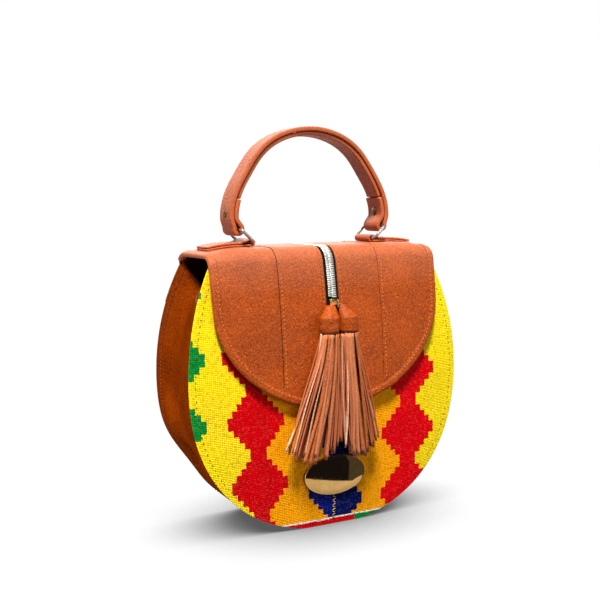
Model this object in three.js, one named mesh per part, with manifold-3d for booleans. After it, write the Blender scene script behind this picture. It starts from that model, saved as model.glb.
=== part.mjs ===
// A round top-handle handbag: two woven cloth panels on a leather gusset, a sewn leather flap with
// a zip and a double tassel, an oval metal plaque, and an arched strap handle on two wire rings.
// Millimetres, +Z up. The front faces -Y, and the origin is the middle of the base it stands on.
import * as THREE from "three";
import { mergeVertices } from "three/addons/utils/BufferGeometryUtils.js";
import Module from "manifold-3d";

const wasm = await Module();
wasm.setup();

// Driving dimensions

const GAP = 0.3; // clearance between neighbouring pieces

const BODY = {
  halfWidth: 112,
  widestZ: 113, // height of the widest line
  topZ: 197, // straight top edge of the two panels
  shoulder: 150, // upper semi-axis of the outline, above the widest line
  squareness: 2.22, // superellipse power of the lower half: 2 is a circle
  settle: 1.4, // how far the base is pressed flat by its own weight
  halfDepth: 35, // from the middle to a panel's outer face, at its edge
  topLean: 10, // how far each panel leans in at full height
  leanFromZ: 110,
  leanOverZ: 110,
  bulge: 4.3, // swell of a panel at its middle
  bulgeZ: 88, // height of the fullest point, and half the height that swells
  clothWall: 2.2,
  leatherWall: 2,
  pinch: { depth: 6.5, z: 42, span: 24 }, // where the rear edge is pulled in, low on both sides
};

// Folds of the gusset, the same on both sides: where each lies, how deep and how far it reaches.
const GUSSET_FOLDS = [
  { name: "mouth pleat", z: 203, y: 2, depth: 12, spanZ: 38, spanY: 19 },
  { name: "long hollow", z: 120, y: 0, depth: 2.5, spanZ: 60, spanY: 20 },
  { name: "low crease", z: 52, y: 9, depth: 7, spanZ: 13, spanY: 18 },
  { name: "swell above the crease", z: 82, y: 14, depth: -2.5, spanZ: 16, spanY: 14 },
];
const GUSSET_TOP_SHARE = { front: 0.885, back: 1.012 }; // the mouth edge dips towards the front

const FLAP = {
  wall: 2.2,
  topZ: 210,
  cornerRadius: 14,
  backEdgeZ: 170, // where it is sewn to the back panel
  frontCornerY: -21.3, // centre of the front rounded corner
  frontTurn: 168.7, // degrees round the front corner where the long front begins
  front: { controlY: -42.7, controlZ: 160, endY: -44.3, endZ: 92.5 },
  halfWidthTop: 93,
  halfWidth: 92, // where the round lower edge begins
  roundZ: 170, // height where the round lower edge begins
  bow: 2.5, // how far the sides stand back from the middle
  bowPower: 2.5,
  droop: 4, // how far the top falls at its two side edges
  droopFromX: 64,
  seamX: 42, // the two long seams between the strips
};

const BINDING = { lap: 4.8, wall: 0.9, gap: 0.45, proud: 1.9, round: 1.1 };

const ZIP = {
  slotHalf: 5.2, // half the slot in the leather
  slotEndZ: 160, // front end of the slot
  slotRound: 4, // length over which the slot closes
  tapeHalf: 9,
  tapeWall: 0.8,
  teethHalf: 3.4,
  teethProud: 0.2,
  sliderHalf: 3.9,
  sliderLength: 7,
  sliderProud: 1.4,
};

const BAIL = { halfDepth: 3.3, halfHeight: 2.7, corner: 1.3, wire: 0.7 };

const TASSEL = {
  headX: 7.9, // from the middle to each head's axis
  headHalfX: 7.4,
  headHalfY: 6.2,
  topZ: 163.5,
  headLength: 16.5,
  bandWall: 1.1,
  loopWidth: 4,
  loopWall: 1.4,
  loopHalf: 5.4, // half the span of the loop's arch over the two heads
  strips: 15,
  stripWidth: 3.8,
  stripWall: 1.3,
  endZ: 57,
  endRise: 7, // how much higher the outermost strips end
  steps: 4,
};
// Where each fringe spreads to at its lower end: centre and half spread.
const FRINGE_ENDS = {
  left: { x: -22.5, y: -50.6, halfX: 20.5, halfY: 2.6 },
  right: { x: 16.5, y: -50.6, halfX: 14.5, halfY: 2.6 },
};

const PLAQUE = { halfWidth: 25.5, halfHeight: 15, wall: 1.8, bevel: 0.6, z: 39, seat: 0.65 };

const TAB = { width: 21.5, wall: 1.4, innerX: 51.2, outerX: 86.4, joinX: 58.5 };

const RING = { wire: 1.2, halfWidth: 15, corner: 4, upperX: 61, upperZ: 223 };

const HANDLE = {
  width: 20,
  wall: 3.4,
  archZ: 231.5, // where the ends turn into the round arch
  lean: 1.8, // how far each end leans in from the arch to its ring
  foldTopZ: 245, // end of the turned-back tongue
  liningWidth: 17.5,
  liningWall: 3,
  edge: 0.9, // chamfer of the strap's long edges
  dip: 0.042, // share of the radius by which the arch's shoulders fall in
  dipTurn: 32, // degrees above the ends where they fall in the most
  dipSpan: 18,
  crownDip: 0.012, // the same at the crown
};

const RIVET = { z: 234.5, head: 3.1, headWall: 0.9, post: 1.3 };

// Finishes

const finish = (color, roughness, metalness = 0) =>
  new THREE.MeshStandardMaterial({ color, roughness, metalness });
const FINISH = {
  leather: finish("#a9562b", 0.55),
  tasselLeather: finish("#b8653c", 0.6),
  cloth: finish("#f0cf1c", 0.9),
  zipTape: finish("#17130f", 0.9),
  zipMetal: finish("#d8d8d4", 0.3, 1),
  plaqueMetal: finish("#c9a25a", 0.15, 1),
  ringMetal: finish("#d9d9d9", 0.2, 1),
  rivetMetal: finish("#6d5a2c", 0.4, 1),
};

// Small helpers

const lerp = THREE.MathUtils.lerp;
const radians = THREE.MathUtils.degToRad;
const point = (x, y, z) => new THREE.Vector3(x, y, z);
const shares = (count) => Array.from({ length: count + 1 }, (_, k) => k / count);
const ALONG_Y = point(0, 1, 0);

// A closed geometry from points and triangles, turned so that its faces point outwards.
function closedGeometry(points, triangles) {
  let volume = 0;
  for (let i = 0; i < triangles.length; i += 3) {
    const [a, b, c] = [0, 1, 2].map((k) => points[triangles[i + k]]);
    volume += a.dot(b.clone().cross(c));
  }
  if (volume < 0) triangles.reverse();
  return new THREE.BufferGeometry().setFromPoints(points).setIndex(triangles);
}

// A closed wall between two grids of points that have the same rows and columns.
function wallBetween(outer, inner) {
  const rows = outer.length;
  const cols = outer[0].length;
  const triangles = [];
  const at = (layer, r, c) => (layer * rows + r) * cols + c;
  const quad = (a, b, c, d) => triangles.push(a, b, c, a, c, d);
  const lastR = rows - 1;
  const lastC = cols - 1;
  for (let r = 0; r < lastR; r++) {
    for (let c = 0; c < lastC; c++) {
      quad(at(0, r, c), at(0, r, c + 1), at(0, r + 1, c + 1), at(0, r + 1, c));
      quad(at(1, r, c), at(1, r + 1, c), at(1, r + 1, c + 1), at(1, r, c + 1));
    }
    quad(at(0, r, 0), at(0, r + 1, 0), at(1, r + 1, 0), at(1, r, 0));
    quad(at(0, r, lastC), at(1, r, lastC), at(1, r + 1, lastC), at(0, r + 1, lastC));
  }
  for (let c = 0; c < lastC; c++) {
    quad(at(0, 0, c), at(1, 0, c), at(1, 0, c + 1), at(0, 0, c + 1));
    quad(at(0, lastR, c), at(0, lastR, c + 1), at(1, lastR, c + 1), at(1, lastR, c));
  }
  return closedGeometry([...outer.flat(), ...inner.flat()], triangles);
}

// A section carried along frames { at, across, out }. A closed sweep joins its ends.
function sweep(frames, section, closed = false) {
  const outline = section.map(([p, q]) => new THREE.Vector2(p, q));
  if (THREE.ShapeUtils.isClockWise(outline)) outline.reverse();
  const n = outline.length;
  const points = frames.flatMap((f) =>
    outline.map((s) => f.at.clone().addScaledVector(f.across, s.x).addScaledVector(f.out, s.y)),
  );
  const triangles = [];
  const lengths = closed ? frames.length : frames.length - 1;
  for (let i = 0; i < lengths; i++) {
    const next = (i + 1) % frames.length;
    for (let k = 0; k < n; k++) {
      const [a, b] = [i * n + k, i * n + ((k + 1) % n)];
      const [c, d] = [next * n + ((k + 1) % n), next * n + k];
      triangles.push(a, b, c, a, c, d);
    }
  }
  if (!closed) {
    const lastRing = (frames.length - 1) * n;
    for (const [a, b, c] of THREE.ShapeUtils.triangulateShape(outline, [])) {
      triangles.push(c, b, a, lastRing + a, lastRing + b, lastRing + c);
    }
  }
  return closedGeometry(points, triangles);
}

// Points and tangents along a path of lines, arcs and curves, with a count of steps for each.
function samples(path, steps) {
  const found = path.curves.flatMap((curve, i) =>
    shares(steps[i]).map((k) => ({ at: curve.getPointAt(k), along: curve.getTangentAt(k) })),
  );
  return found.filter((s, i) => i === 0 || s.at.distanceTo(found[i - 1].at) > 1e-6);
}

// Frames of a band whose path lies in an upright plane along X and whose width runs along Y.
const bandFrames = (path, steps, y = 0) =>
  samples(path, steps).map(({ at, along }) => ({
    at: point(at.x, y, at.y),
    across: ALONG_Y,
    out: point(-along.y, 0, along.x),
  }));

// The section of a band: width by thickness with its four long edges chamfered.
function bandSection(width, wall, edge) {
  const [w, t] = [width / 2, wall / 2];
  return [
    [-w + edge, -t], [w - edge, -t], [w, -t + edge], [w, t - edge],
    [w - edge, t], [-w + edge, t], [-w, t - edge], [-w, -t + edge],
  ];
}

// A closed ring of round wire: a rounded rectangle in the plane of the directions u and v.
function wireRing(centre, u, v, { halfU, halfV, corner, wire, sides, turns }) {
  const path = new THREE.Path();
  const [cu, cv] = [halfU - corner, halfV - corner];
  path.moveTo(halfU, -cv);
  path.lineTo(halfU, cv);
  path.absarc(cu, cv, corner, 0, Math.PI / 2);
  path.lineTo(-cu, halfV);
  path.absarc(-cu, cv, corner, Math.PI / 2, Math.PI);
  path.lineTo(-halfU, -cv);
  path.absarc(-cu, -cv, corner, Math.PI, Math.PI * 1.5);
  path.lineTo(cu, -halfV);
  path.absarc(cu, -cv, corner, Math.PI * 1.5, Math.PI * 2);
  const steps = path.curves.map((curve) => (curve.isLineCurve ? 1 : turns));
  const normal = u.clone().cross(v);
  const frames = samples(path, steps).map(({ at, along }) => ({
    at: centre.clone().addScaledVector(u, at.x).addScaledVector(v, at.y),
    across: u.clone().multiplyScalar(along.y).addScaledVector(v, -along.x),
    out: normal,
  }));
  frames.pop(); // the last sample is the first again
  const section = shares(sides).slice(0, sides).map((k) => {
    const angle = k * 2 * Math.PI;
    return [wire * Math.cos(angle), wire * Math.sin(angle)];
  });
  return sweep(frames, section, true);
}

// Joining and cutting

function solidOf(geometry) {
  const bare = new THREE.BufferGeometry().setAttribute("position", geometry.getAttribute("position"));
  bare.setIndex(geometry.index);
  const merged = mergeVertices(bare, 1e-4);
  return new wasm.Manifold(
    new wasm.Mesh({
      numProp: 3,
      vertProperties: merged.attributes.position.array,
      triVerts: new Uint32Array(merged.index.array),
    }),
  );
}

function geometryOf(solid) {
  const mesh = solid.getMesh();
  const geometry = new THREE.BufferGeometry();
  geometry.setAttribute("position", new THREE.BufferAttribute(mesh.vertProperties, 3));
  return geometry.setIndex(new THREE.BufferAttribute(mesh.triVerts, 1));
}

const joined = (geometries) =>
  geometryOf(geometries.map(solidOf).reduce((whole, piece) => whole.add(piece)));

// Body outline: one side of the panels from the base (share 0) to the top edge (share 1)

const LOWER_SHARE = 0.64; // of the outline's steps, below the widest line
const LOWER_HEIGHT = BODY.widestZ + BODY.settle;
const FLAT_ANGLE = Math.acos((1 - BODY.settle / LOWER_HEIGHT) ** (BODY.squareness / 2));
const SHOULDER_ANGLE = Math.asin((BODY.topZ - BODY.widestZ) / BODY.shoulder);

// Rearness runs from 0 at the front edge to 1 at the rear edge, which is pinched.
function outlineAt(share, rearness = 0) {
  const { x, z } = plainOutline(share);
  const { depth, z: pinchZ, span } = BODY.pinch;
  return { x: x - rearness * depth * Math.exp(-(((z - pinchZ) / span) ** 2)), z };
}

function plainOutline(share) {
  if (share <= LOWER_SHARE) {
    const angle = lerp(FLAT_ANGLE, Math.PI / 2, share / LOWER_SHARE);
    const power = 2 / BODY.squareness;
    return {
      x: BODY.halfWidth * Math.sin(angle) ** power,
      z: BODY.widestZ - LOWER_HEIGHT * Math.max(0, Math.cos(angle)) ** power,
    };
  }
  const angle = (SHOULDER_ANGLE * (share - LOWER_SHARE)) / (1 - LOWER_SHARE);
  return {
    x: BODY.halfWidth * Math.cos(angle),
    z: BODY.widestZ + BODY.shoulder * Math.sin(angle),
  };
}

const halfDepthAt = (z) =>
  BODY.halfDepth - BODY.topLean * (Math.max(0, z - BODY.leanFromZ) / BODY.leanOverZ) ** 2;

// Distance from the middle to a panel's outer face, where a is the share of the half width.
const panelFace = (a, z) =>
  halfDepthAt(z) +
  BODY.bulge * (1 - a * a) * Math.max(0, 1 - ((z - BODY.bulgeZ) / BODY.bulgeZ) ** 2);

const OUTLINE_STEPS = 15;
const PANEL_COLUMNS = 8;

function panel(facing) {
  const face = (inset) =>
    shares(OUTLINE_STEPS).map((share) => {
      const { x, z } = outlineAt(share, facing > 0 ? 1 : 0);
      return shares(PANEL_COLUMNS).map((k) => {
        const a = 2 * k - 1;
        return point(a * x, facing * (panelFace(a, z) - inset), z);
      });
    });
  return wallBetween(face(0), face(BODY.clothWall));
}

// How far the gusset is pushed in at a height and a depth.
const foldDepth = (y, z) =>
  GUSSET_FOLDS.reduce(
    (sum, f) => sum + f.depth * Math.exp(-(((z - f.z) / f.spanZ) ** 2) - ((y - f.y) / f.spanY) ** 2),
    0,
  );

function gusset() {
  const acrossSteps = 8;
  const along = [...shares(OUTLINE_STEPS).reverse().map((k) => [-1, k]),
    ...shares(OUTLINE_STEPS).map((k) => [1, k])];
  const delta = 1e-3;
  const face = (inset) =>
    along.map(([side, k]) =>
      shares(acrossSteps).map((j) => {
        const share = k * lerp(GUSSET_TOP_SHARE.front, GUSSET_TOP_SHARE.back, j);
        const here = outlineAt(share, j);
        const before = outlineAt(Math.max(0, share - delta), j);
        const after = outlineAt(share + delta, j);
        const length = Math.hypot(after.x - before.x, after.z - before.z);
        const inX = -(after.z - before.z) / length;
        const inZ = (after.x - before.x) / length;
        const reach = halfDepthAt(here.z) - BODY.clothWall - GAP;
        const y = lerp(-reach, reach, j);
        const held = Math.sin(Math.PI * j) ** 0.5; // the sewn edges stay on the outline
        const lifted = THREE.MathUtils.smoothstep(here.z, 8, 40); // the base stays flat
        const depth = inset + held * lifted * foldDepth(y, here.z);
        return k === 0
          ? point(side * here.x, y, inset)
          : point(side * (here.x + inX * depth), y, here.z + inZ * depth);
      }),
    );
  return wallBetween(face(0), face(BODY.leatherWall));
}

// Flap: a profile from the sewn back edge over the top and down the front, and its outline

const flapProfile = (() => {
  const { topZ, cornerRadius: r, front } = FLAP;
  const path = new THREE.Path();
  const centreZ = topZ - r;
  const backY = (z) => panelFace(0, z) + GAP + FLAP.wall;
  const back = Math.atan2(backY(FLAP.backEdgeZ) - backY(centreZ), centreZ - FLAP.backEdgeZ);
  const backCornerY = backY(centreZ) - r * Math.cos(back);
  path.moveTo(backY(FLAP.backEdgeZ), FLAP.backEdgeZ);
  path.lineTo(backCornerY + r * Math.cos(back), centreZ + r * Math.sin(back));
  path.absarc(backCornerY, centreZ, r, back, Math.PI / 2);
  path.lineTo(FLAP.frontCornerY, topZ);
  path.absarc(FLAP.frontCornerY, centreZ, r, Math.PI / 2, radians(FLAP.frontTurn));
  path.quadraticCurveTo(front.controlY, front.controlZ, front.endY, front.endZ);
  return path;
})();
const FLAP_STEPS = [2, 4, 2, 4, 9];
const SEWN_ROWS = FLAP_STEPS[0] + 1; // rows that lie on the back panel, with no binding and no zip
const PROFILE_LENGTHS = flapProfile.getCurveLengths();
const PROFILE_TOTAL = PROFILE_LENGTHS.at(-1);
const FRONT_START = PROFILE_LENGTHS.at(-2) / PROFILE_TOTAL;
const BACK_END = PROFILE_LENGTHS[0] / PROFILE_TOTAL;

// How far the flap's top falls at a place across it.
const droopAt = (x) =>
  FLAP.droop * (Math.max(0, Math.abs(x) - FLAP.droopFromX) / (FLAP.halfWidthTop - FLAP.droopFromX)) ** 2;

// A point on the flap, pushed in from its outer face, with the outward normal there.
function flapAt(x, share, inset = 0) {
  const at = flapProfile.getPoint(share);
  const along = flapProfile.getTangent(share);
  const normal = point(0, along.y, -along.x);
  const bow = FLAP.bow * (Math.abs(x) / FLAP.halfWidth) ** FLAP.bowPower * Math.max(0, -normal.y);
  const level = Math.max(0, normal.z);
  const surface = point(x, at.x + bow, at.y - level * droopAt(x));
  normal.x = level * Math.sign(x) * (droopAt(Math.abs(x) + 0.5) - droopAt(Math.abs(x) - 0.5));
  normal.normalize();
  return { at: surface.addScaledVector(normal, -inset), normal };
}

// The share of the profile where its front passes a height.
function frontShare(z) {
  let [low, high] = [FRONT_START, 1];
  for (let i = 0; i < 40; i++) {
    const middle = (low + high) / 2;
    if (flapProfile.getPoint(middle).y > z) low = middle;
    else high = middle;
  }
  return high;
}

const ROUND_HEIGHT = FLAP.roundZ - FLAP.front.endZ;
const roundEdgeZ = (x) =>
  FLAP.roundZ - ROUND_HEIGHT * Math.sqrt(Math.max(0, 1 - (x / FLAP.halfWidth) ** 2));

// On the back the flap is as wide as the body; on the front its lower edge is round.
function flapHalfWidth(share) {
  const { y: z } = flapProfile.getPoint(share);
  if (share <= BACK_END) {
    return BODY.halfWidth * Math.sqrt(1 - ((z - BODY.widestZ) / BODY.shoulder) ** 2) - GAP;
  }
  if (share <= FRONT_START || z >= FLAP.roundZ) {
    const rise = (z - FLAP.roundZ) / (FLAP.topZ - FLAP.roundZ);
    return lerp(FLAP.halfWidth, FLAP.halfWidthTop, Math.max(0, rise));
  }
  return FLAP.halfWidth * Math.sqrt(Math.max(0, 1 - ((FLAP.roundZ - z) / ROUND_HEIGHT) ** 2));
}

// Shares of the profile for the rows of a strip that ends at a given share on the front.
function flapRows(endShare, steps = FLAP_STEPS) {
  let start = 0;
  return steps.flatMap((count, i) => {
    const end = i === steps.length - 1 ? endShare : PROFILE_LENGTHS[i] / PROFILE_TOTAL;
    const rows = shares(count).slice(i === 0 ? 0 : 1).map((k) => lerp(start, end, k));
    start = end;
    return rows;
  });
}

// Half of the opening between the inner strips: the zip's slot, closing to a seam below it.
const SLOT_START = flapRows(1)[SEWN_ROWS];
const SLOT_END = frontShare(ZIP.slotEndZ);
const slotHalfAt = (share) => {
  const inside = Math.min(SLOT_END - share, share - SLOT_START) * PROFILE_TOTAL;
  return lerp(GAP / 2, ZIP.slotHalf, THREE.MathUtils.smoothstep(inside / ZIP.slotRound, 0, 1));
};

// Rows of an inner strip, with some at the slot's rounded front end.
const SLOT_TURN = SLOT_END - ZIP.slotRound / PROFILE_TOTAL;
const innerRows = (endShare) => [
  ...flapRows(SLOT_TURN, [...FLAP_STEPS.slice(0, -1), 3]),
  lerp(SLOT_TURN, SLOT_END, 0.5),
  ...shares(7).map((k) => lerp(SLOT_END, endShare, k)),
];

function flapInnerStrip(side) {
  const columns = 5;
  const edge = FLAP.seamX - GAP / 2;
  const face = (inset) =>
    shares(columns).map((a) =>
      innerRows(frontShare(roundEdgeZ(lerp(GAP / 2, edge, a)))).map(
        (share) => flapAt(side * lerp(slotHalfAt(share), edge, a), share, inset).at,
      ),
    );
  return wallBetween(face(0), face(FLAP.wall));
}

function flapOuterStrip(side) {
  const columns = 6;
  const tip = 0.8; // width left at the strip's lower point
  const edge = FLAP.seamX + GAP / 2;
  const rows = flapRows(frontShare(roundEdgeZ(edge + tip)));
  const face = (inset) =>
    rows.map((share) =>
      shares(columns).map((a) => flapAt(side * lerp(edge, flapHalfWidth(share), a), share, inset).at),
    );
  return wallBetween(face(0), face(FLAP.wall));
}

// The flap's free edge: from the rear corner on the left, over the top, round the front and back.
function flapEdge() {
  const roundSteps = 22;
  const side = flapRows(frontShare(FLAP.roundZ + 1)).slice(SEWN_ROWS);
  const left = side.map((share) => [-flapHalfWidth(share), share]);
  const right = side.map((share) => [flapHalfWidth(share), share]).reverse();
  const round = shares(roundSteps).map((k) => {
    const angle = Math.PI * (1 - k);
    const x = FLAP.halfWidth * Math.cos(angle);
    return [x, frontShare(FLAP.roundZ - ROUND_HEIGHT * Math.sin(angle))];
  });
  return [...left, ...round, ...right];
}

function flapBinding() {
  const { lap, wall, gap, proud, round } = BINDING;
  const edge = flapEdge().map(([x, share]) => flapAt(x, share));
  const frames = edge.map(({ at, normal }, i) => {
    const before = edge[Math.max(0, i - 1)].at;
    const after = edge[Math.min(edge.length - 1, i + 1)].at;
    const along = after.clone().sub(before).normalize();
    return { at, across: along.cross(normal).normalize(), out: normal };
  });
  const outside = [gap, gap + wall];
  const inside = [-FLAP.wall - gap, -FLAP.wall - gap - wall];
  const section = [
    [-lap, outside[1]], [proud - round, outside[1]], [proud, outside[1] - round],
    [proud, inside[1] + round], [proud - round, inside[1]], [-lap, inside[1]],
    [-lap, inside[0]], [GAP, inside[0]], [GAP, outside[0]], [-lap, outside[0]],
  ];
  return sweep(frames, section);
}

// Zip: a tape under the slot, the closed chain of teeth in it, and the slider at its lower end

const TAPE_TOP = FLAP.wall + GAP; // depth of the tape's upper face below the leather's face
const SLIDER_Z = ZIP.slotEndZ + ZIP.slotRound + ZIP.sliderLength / 2;
const SLIDER_SHARE = frontShare(SLIDER_Z);
const TEETH_START = SLOT_START + ZIP.slotRound / PROFILE_TOTAL;
const TEETH_END = SLIDER_SHARE - (ZIP.sliderLength / 2 + GAP) / PROFILE_TOTAL;

function zipStrip(half, top, bottom, startShare, endShare) {
  const rows = flapRows(endShare).filter((share) => share > startShare);
  const face = (inset) =>
    [startShare, ...rows].map((share) => [-half, half].map((x) => flapAt(x, share, inset).at));
  return wallBetween(face(top), face(bottom));
}

const zipTape = () =>
  zipStrip(ZIP.tapeHalf, TAPE_TOP, TAPE_TOP + ZIP.tapeWall, SLOT_START, SLOT_END);
const zipTeeth = () =>
  zipStrip(ZIP.teethHalf, -ZIP.teethProud, TAPE_TOP - GAP, TEETH_START, TEETH_END);

const BAIL_CENTRE = (() => {
  const { at, normal } = flapAt(0, SLIDER_SHARE);
  return at.addScaledVector(normal, ZIP.sliderProud + BAIL.halfDepth - BAIL.wire / 2);
})();

function zipSlider() {
  const { at, normal } = flapAt(0, SLIDER_SHARE);
  const depth = TAPE_TOP - GAP + ZIP.sliderProud;
  const body = new THREE.BoxGeometry(2 * ZIP.sliderHalf, depth, ZIP.sliderLength);
  body.rotateX(Math.atan2(normal.z, -normal.y) * -1);
  const middle = at.clone().addScaledVector(normal, ZIP.sliderProud - depth / 2);
  body.translate(middle.x, middle.y, middle.z);
  const bail = wireRing(BAIL_CENTRE, ALONG_Y, point(0, 0, 1), {
    halfU: BAIL.halfDepth, halfV: BAIL.halfHeight, corner: BAIL.corner,
    wire: BAIL.wire, sides: 6, turns: 3,
  });
  return joined([body, bail]);
}

// Tassel: a leather loop through the slider's bail, and two banded heads with cut fringes

const HEAD_FOOT = flapAt(0, frontShare(TASSEL.topZ - TASSEL.headLength)).at; // where a head lies on the flap
const HEAD_Y = HEAD_FOOT.y - TASSEL.headHalfY - GAP;

function tasselLoop() {
  const { loopHalf, loopWall, loopWidth, topZ } = TASSEL;
  const footZ = topZ + GAP;
  const path = new THREE.Path();
  path.absellipse(0, footZ, loopHalf, BAIL_CENTRE.z - footZ, Math.PI, 0, true);
  const frames = bandFrames(path, [14], BAIL_CENTRE.y);
  return sweep(frames, bandSection(loopWidth, loopWall, 0.3));
}

// A round form of the head: radius and height pairs turned about its axis, then made oval.
function headTurning(profile, x) {
  const lathe = new THREE.LatheGeometry(profile.map(([r, z]) => new THREE.Vector2(r, z)), 16);
  lathe.rotateX(Math.PI / 2);
  lathe.scale(1, TASSEL.headHalfY / TASSEL.headHalfX, 1);
  lathe.translate(x, HEAD_Y, 0);
  return lathe;
}

function tasselBand(side) {
  const { headHalfX: r, bandWall, topZ, headLength } = TASSEL;
  const bottomZ = topZ - headLength;
  const profile = [
    [r - bandWall, bottomZ], [r, bottomZ], [r, topZ - 1.2], [r - 0.6, topZ - 0.3],
    [r - bandWall, topZ - 0.3], [r - bandWall, bottomZ],
  ];
  return headTurning(profile, side * TASSEL.headX);
}

function tasselFringe(side, end) {
  const { headHalfX, headHalfY, bandWall, topZ, headLength, strips, steps } = TASSEL;
  const headX = side * TASSEL.headX;
  const coreR = headHalfX - bandWall - GAP;
  const bottomZ = topZ - headLength - 1.5;
  const core = headTurning([[0, bottomZ], [coreR, bottomZ], [coreR, topZ], [0, topZ]], headX);
  const [w, t] = [TASSEL.stripWidth / 2, TASSEL.stripWall / 2];
  const section = [[-w, -t], [w, -t], [w, t], [-w, t]];
  const pieces = shares(strips).slice(0, strips).map((k, i) => {
    const angle = 2 * Math.PI * k;
    const inner = i % 2 ? 0.45 : 0.78; // strips start in two rings inside the core
    const [c, s] = [Math.cos(angle), Math.sin(angle)];
    const start = point(headX + inner * coreR * c, HEAD_Y + inner * headHalfY * 0.72 * s, bottomZ + 1);
    const lower = TASSEL.endZ + TASSEL.endRise * c * c;
    const finishAt = point(end.x + end.halfX * c, end.y + end.halfY * s, lower);
    const frames = shares(steps).map((t) => {
      const spread = t ** 1.25;
      const at = point(
        lerp(start.x, finishAt.x, spread),
        lerp(start.y, finishAt.y, t),
        lerp(start.z, finishAt.z, t),
      );
      return { at, across: point(1, 0, 0), out: ALONG_Y };
    });
    return sweep(frames, section);
  });
  return joined([core, ...pieces]);
}

// Plaque: a bevelled oval plate that lies on the lower front panel

function plaque() {
  const { halfWidth, halfHeight, wall, bevel, z } = PLAQUE;
  const oval = new THREE.Shape();
  oval.absellipse(0, 0, halfWidth - bevel, halfHeight - bevel, 0, 2 * Math.PI);
  const plate = new THREE.ExtrudeGeometry(oval, {
    depth: wall - bevel, bevelThickness: bevel / 2, bevelSize: bevel, bevelSegments: 1, curveSegments: 20,
  });
  const reach = 12; // the panel's slope is read over this height to each side
  const slope = (panelFace(0, z + reach) - panelFace(0, z - reach)) / (2 * reach);
  plate.rotateX(Math.PI / 2 + Math.atan(slope));
  plate.translate(0, -panelFace(0, z) - PLAQUE.seat, z);
  return plate;
}

// Handle: folded tabs on the flap, wire rings, and the arched strap with its lining

const TAB_LOOP = RING.wire + GAP + TAB.wall / 2;
const TAB_LOWER_Z = FLAP.topZ + GAP + TAB.wall / 2;
const RING_LOWER = { x: TAB.innerX, z: TAB_LOWER_Z + TAB_LOOP };

function tab(side) {
  const upperZ = TAB_LOWER_Z + TAB.wall + GAP;
  const path = new THREE.Path();
  const flatX = FLAP.droopFromX; // the tab bends down with the flap outside this
  const bendX = (TAB.outerX + flatX) / 2;
  const fall = droopAt(TAB.outerX);
  path.moveTo(TAB.outerX, TAB_LOWER_Z - fall);
  path.quadraticCurveTo(bendX, TAB_LOWER_Z, flatX, TAB_LOWER_Z);
  path.lineTo(TAB.innerX, TAB_LOWER_Z);
  path.absarc(TAB.innerX, RING_LOWER.z, TAB_LOOP, -Math.PI / 2, -Math.PI * 1.5, true);
  path.bezierCurveTo(TAB.innerX + 4, RING_LOWER.z + TAB_LOOP, TAB.joinX, upperZ, TAB.joinX + 3, upperZ);
  path.lineTo(flatX, upperZ);
  path.quadraticCurveTo(bendX, upperZ, TAB.outerX, upperZ - fall);
  const geometry = sweep(bandFrames(path, [3, 1, 8, 4, 1, 3]), bandSection(TAB.width, TAB.wall, 0.5));
  return side > 0 ? geometry : mirrored(geometry);
}

// The same closed geometry on the other side of the middle plane.
function mirrored(geometry) {
  const points = [];
  const source = geometry.getAttribute("position");
  for (let i = 0; i < source.count; i++) points.push(point(-source.getX(i), source.getY(i), source.getZ(i)));
  return closedGeometry(points, Array.from(geometry.index.array));
}

function ring(side) {
  const lower = point(side * RING_LOWER.x, 0, RING_LOWER.z);
  const upper = point(side * RING.upperX, 0, RING.upperZ);
  const rise = upper.clone().sub(lower);
  return wireRing(lower.clone().add(upper).multiplyScalar(0.5), ALONG_Y, rise.clone().normalize(), {
    halfU: RING.halfWidth, halfV: rise.length() / 2, corner: RING.corner,
    wire: RING.wire, sides: 8, turns: 4,
  });
}

const STRAP_TURN = RING.wire + GAP + HANDLE.wall / 2;
const STRAP_X = RING.upperX + STRAP_TURN + HANDLE.lean; // the arch's radius at the strap's middle
const TONGUE_X = STRAP_X - HANDLE.wall - GAP; // the same for the tongue inside it
const TONGUE_TURN = Math.asin((HANDLE.foldTopZ - HANDLE.archZ) / TONGUE_X);
const RIVET_TURN = Math.asin((RIVET.z - HANDLE.archZ) / STRAP_X);

// The handle's arch is drawn round and then let in a little at its shoulders.
function settled(geometry) {
  const { archZ, dip, dipTurn, dipSpan, crownDip } = HANDLE;
  const source = geometry.getAttribute("position");
  const points = [];
  for (let i = 0; i < source.count; i++) {
    const at = point(source.getX(i), source.getY(i), source.getZ(i));
    const turn = Math.atan2(Math.max(0, at.z - archZ), Math.abs(at.x));
    const degrees = THREE.MathUtils.radToDeg(turn);
    const fall = dip * Math.exp(-(((degrees - dipTurn) / dipSpan) ** 2)) + crownDip * Math.sin(turn) ** 2;
    const share = 1 - fall * THREE.MathUtils.smoothstep(degrees, 0, 12);
    if (at.z > archZ) at.set(at.x * share, at.y, archZ + (at.z - archZ) * share);
    points.push(at);
  }
  return closedGeometry(points, Array.from(geometry.index.array));
}

// A turned form on the rivet's axis, which runs straight through the strap and its tongue.
function onRivetAxis(geometry, side) {
  const radius = (STRAP_X + TONGUE_X) / 2;
  geometry.rotateZ(Math.PI / 2);
  geometry.rotateY(-side * RIVET_TURN);
  const z = HANDLE.archZ + radius * Math.sin(RIVET_TURN);
  return geometry.translate(side * radius * Math.cos(RIVET_TURN), 0, z);
}

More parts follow.
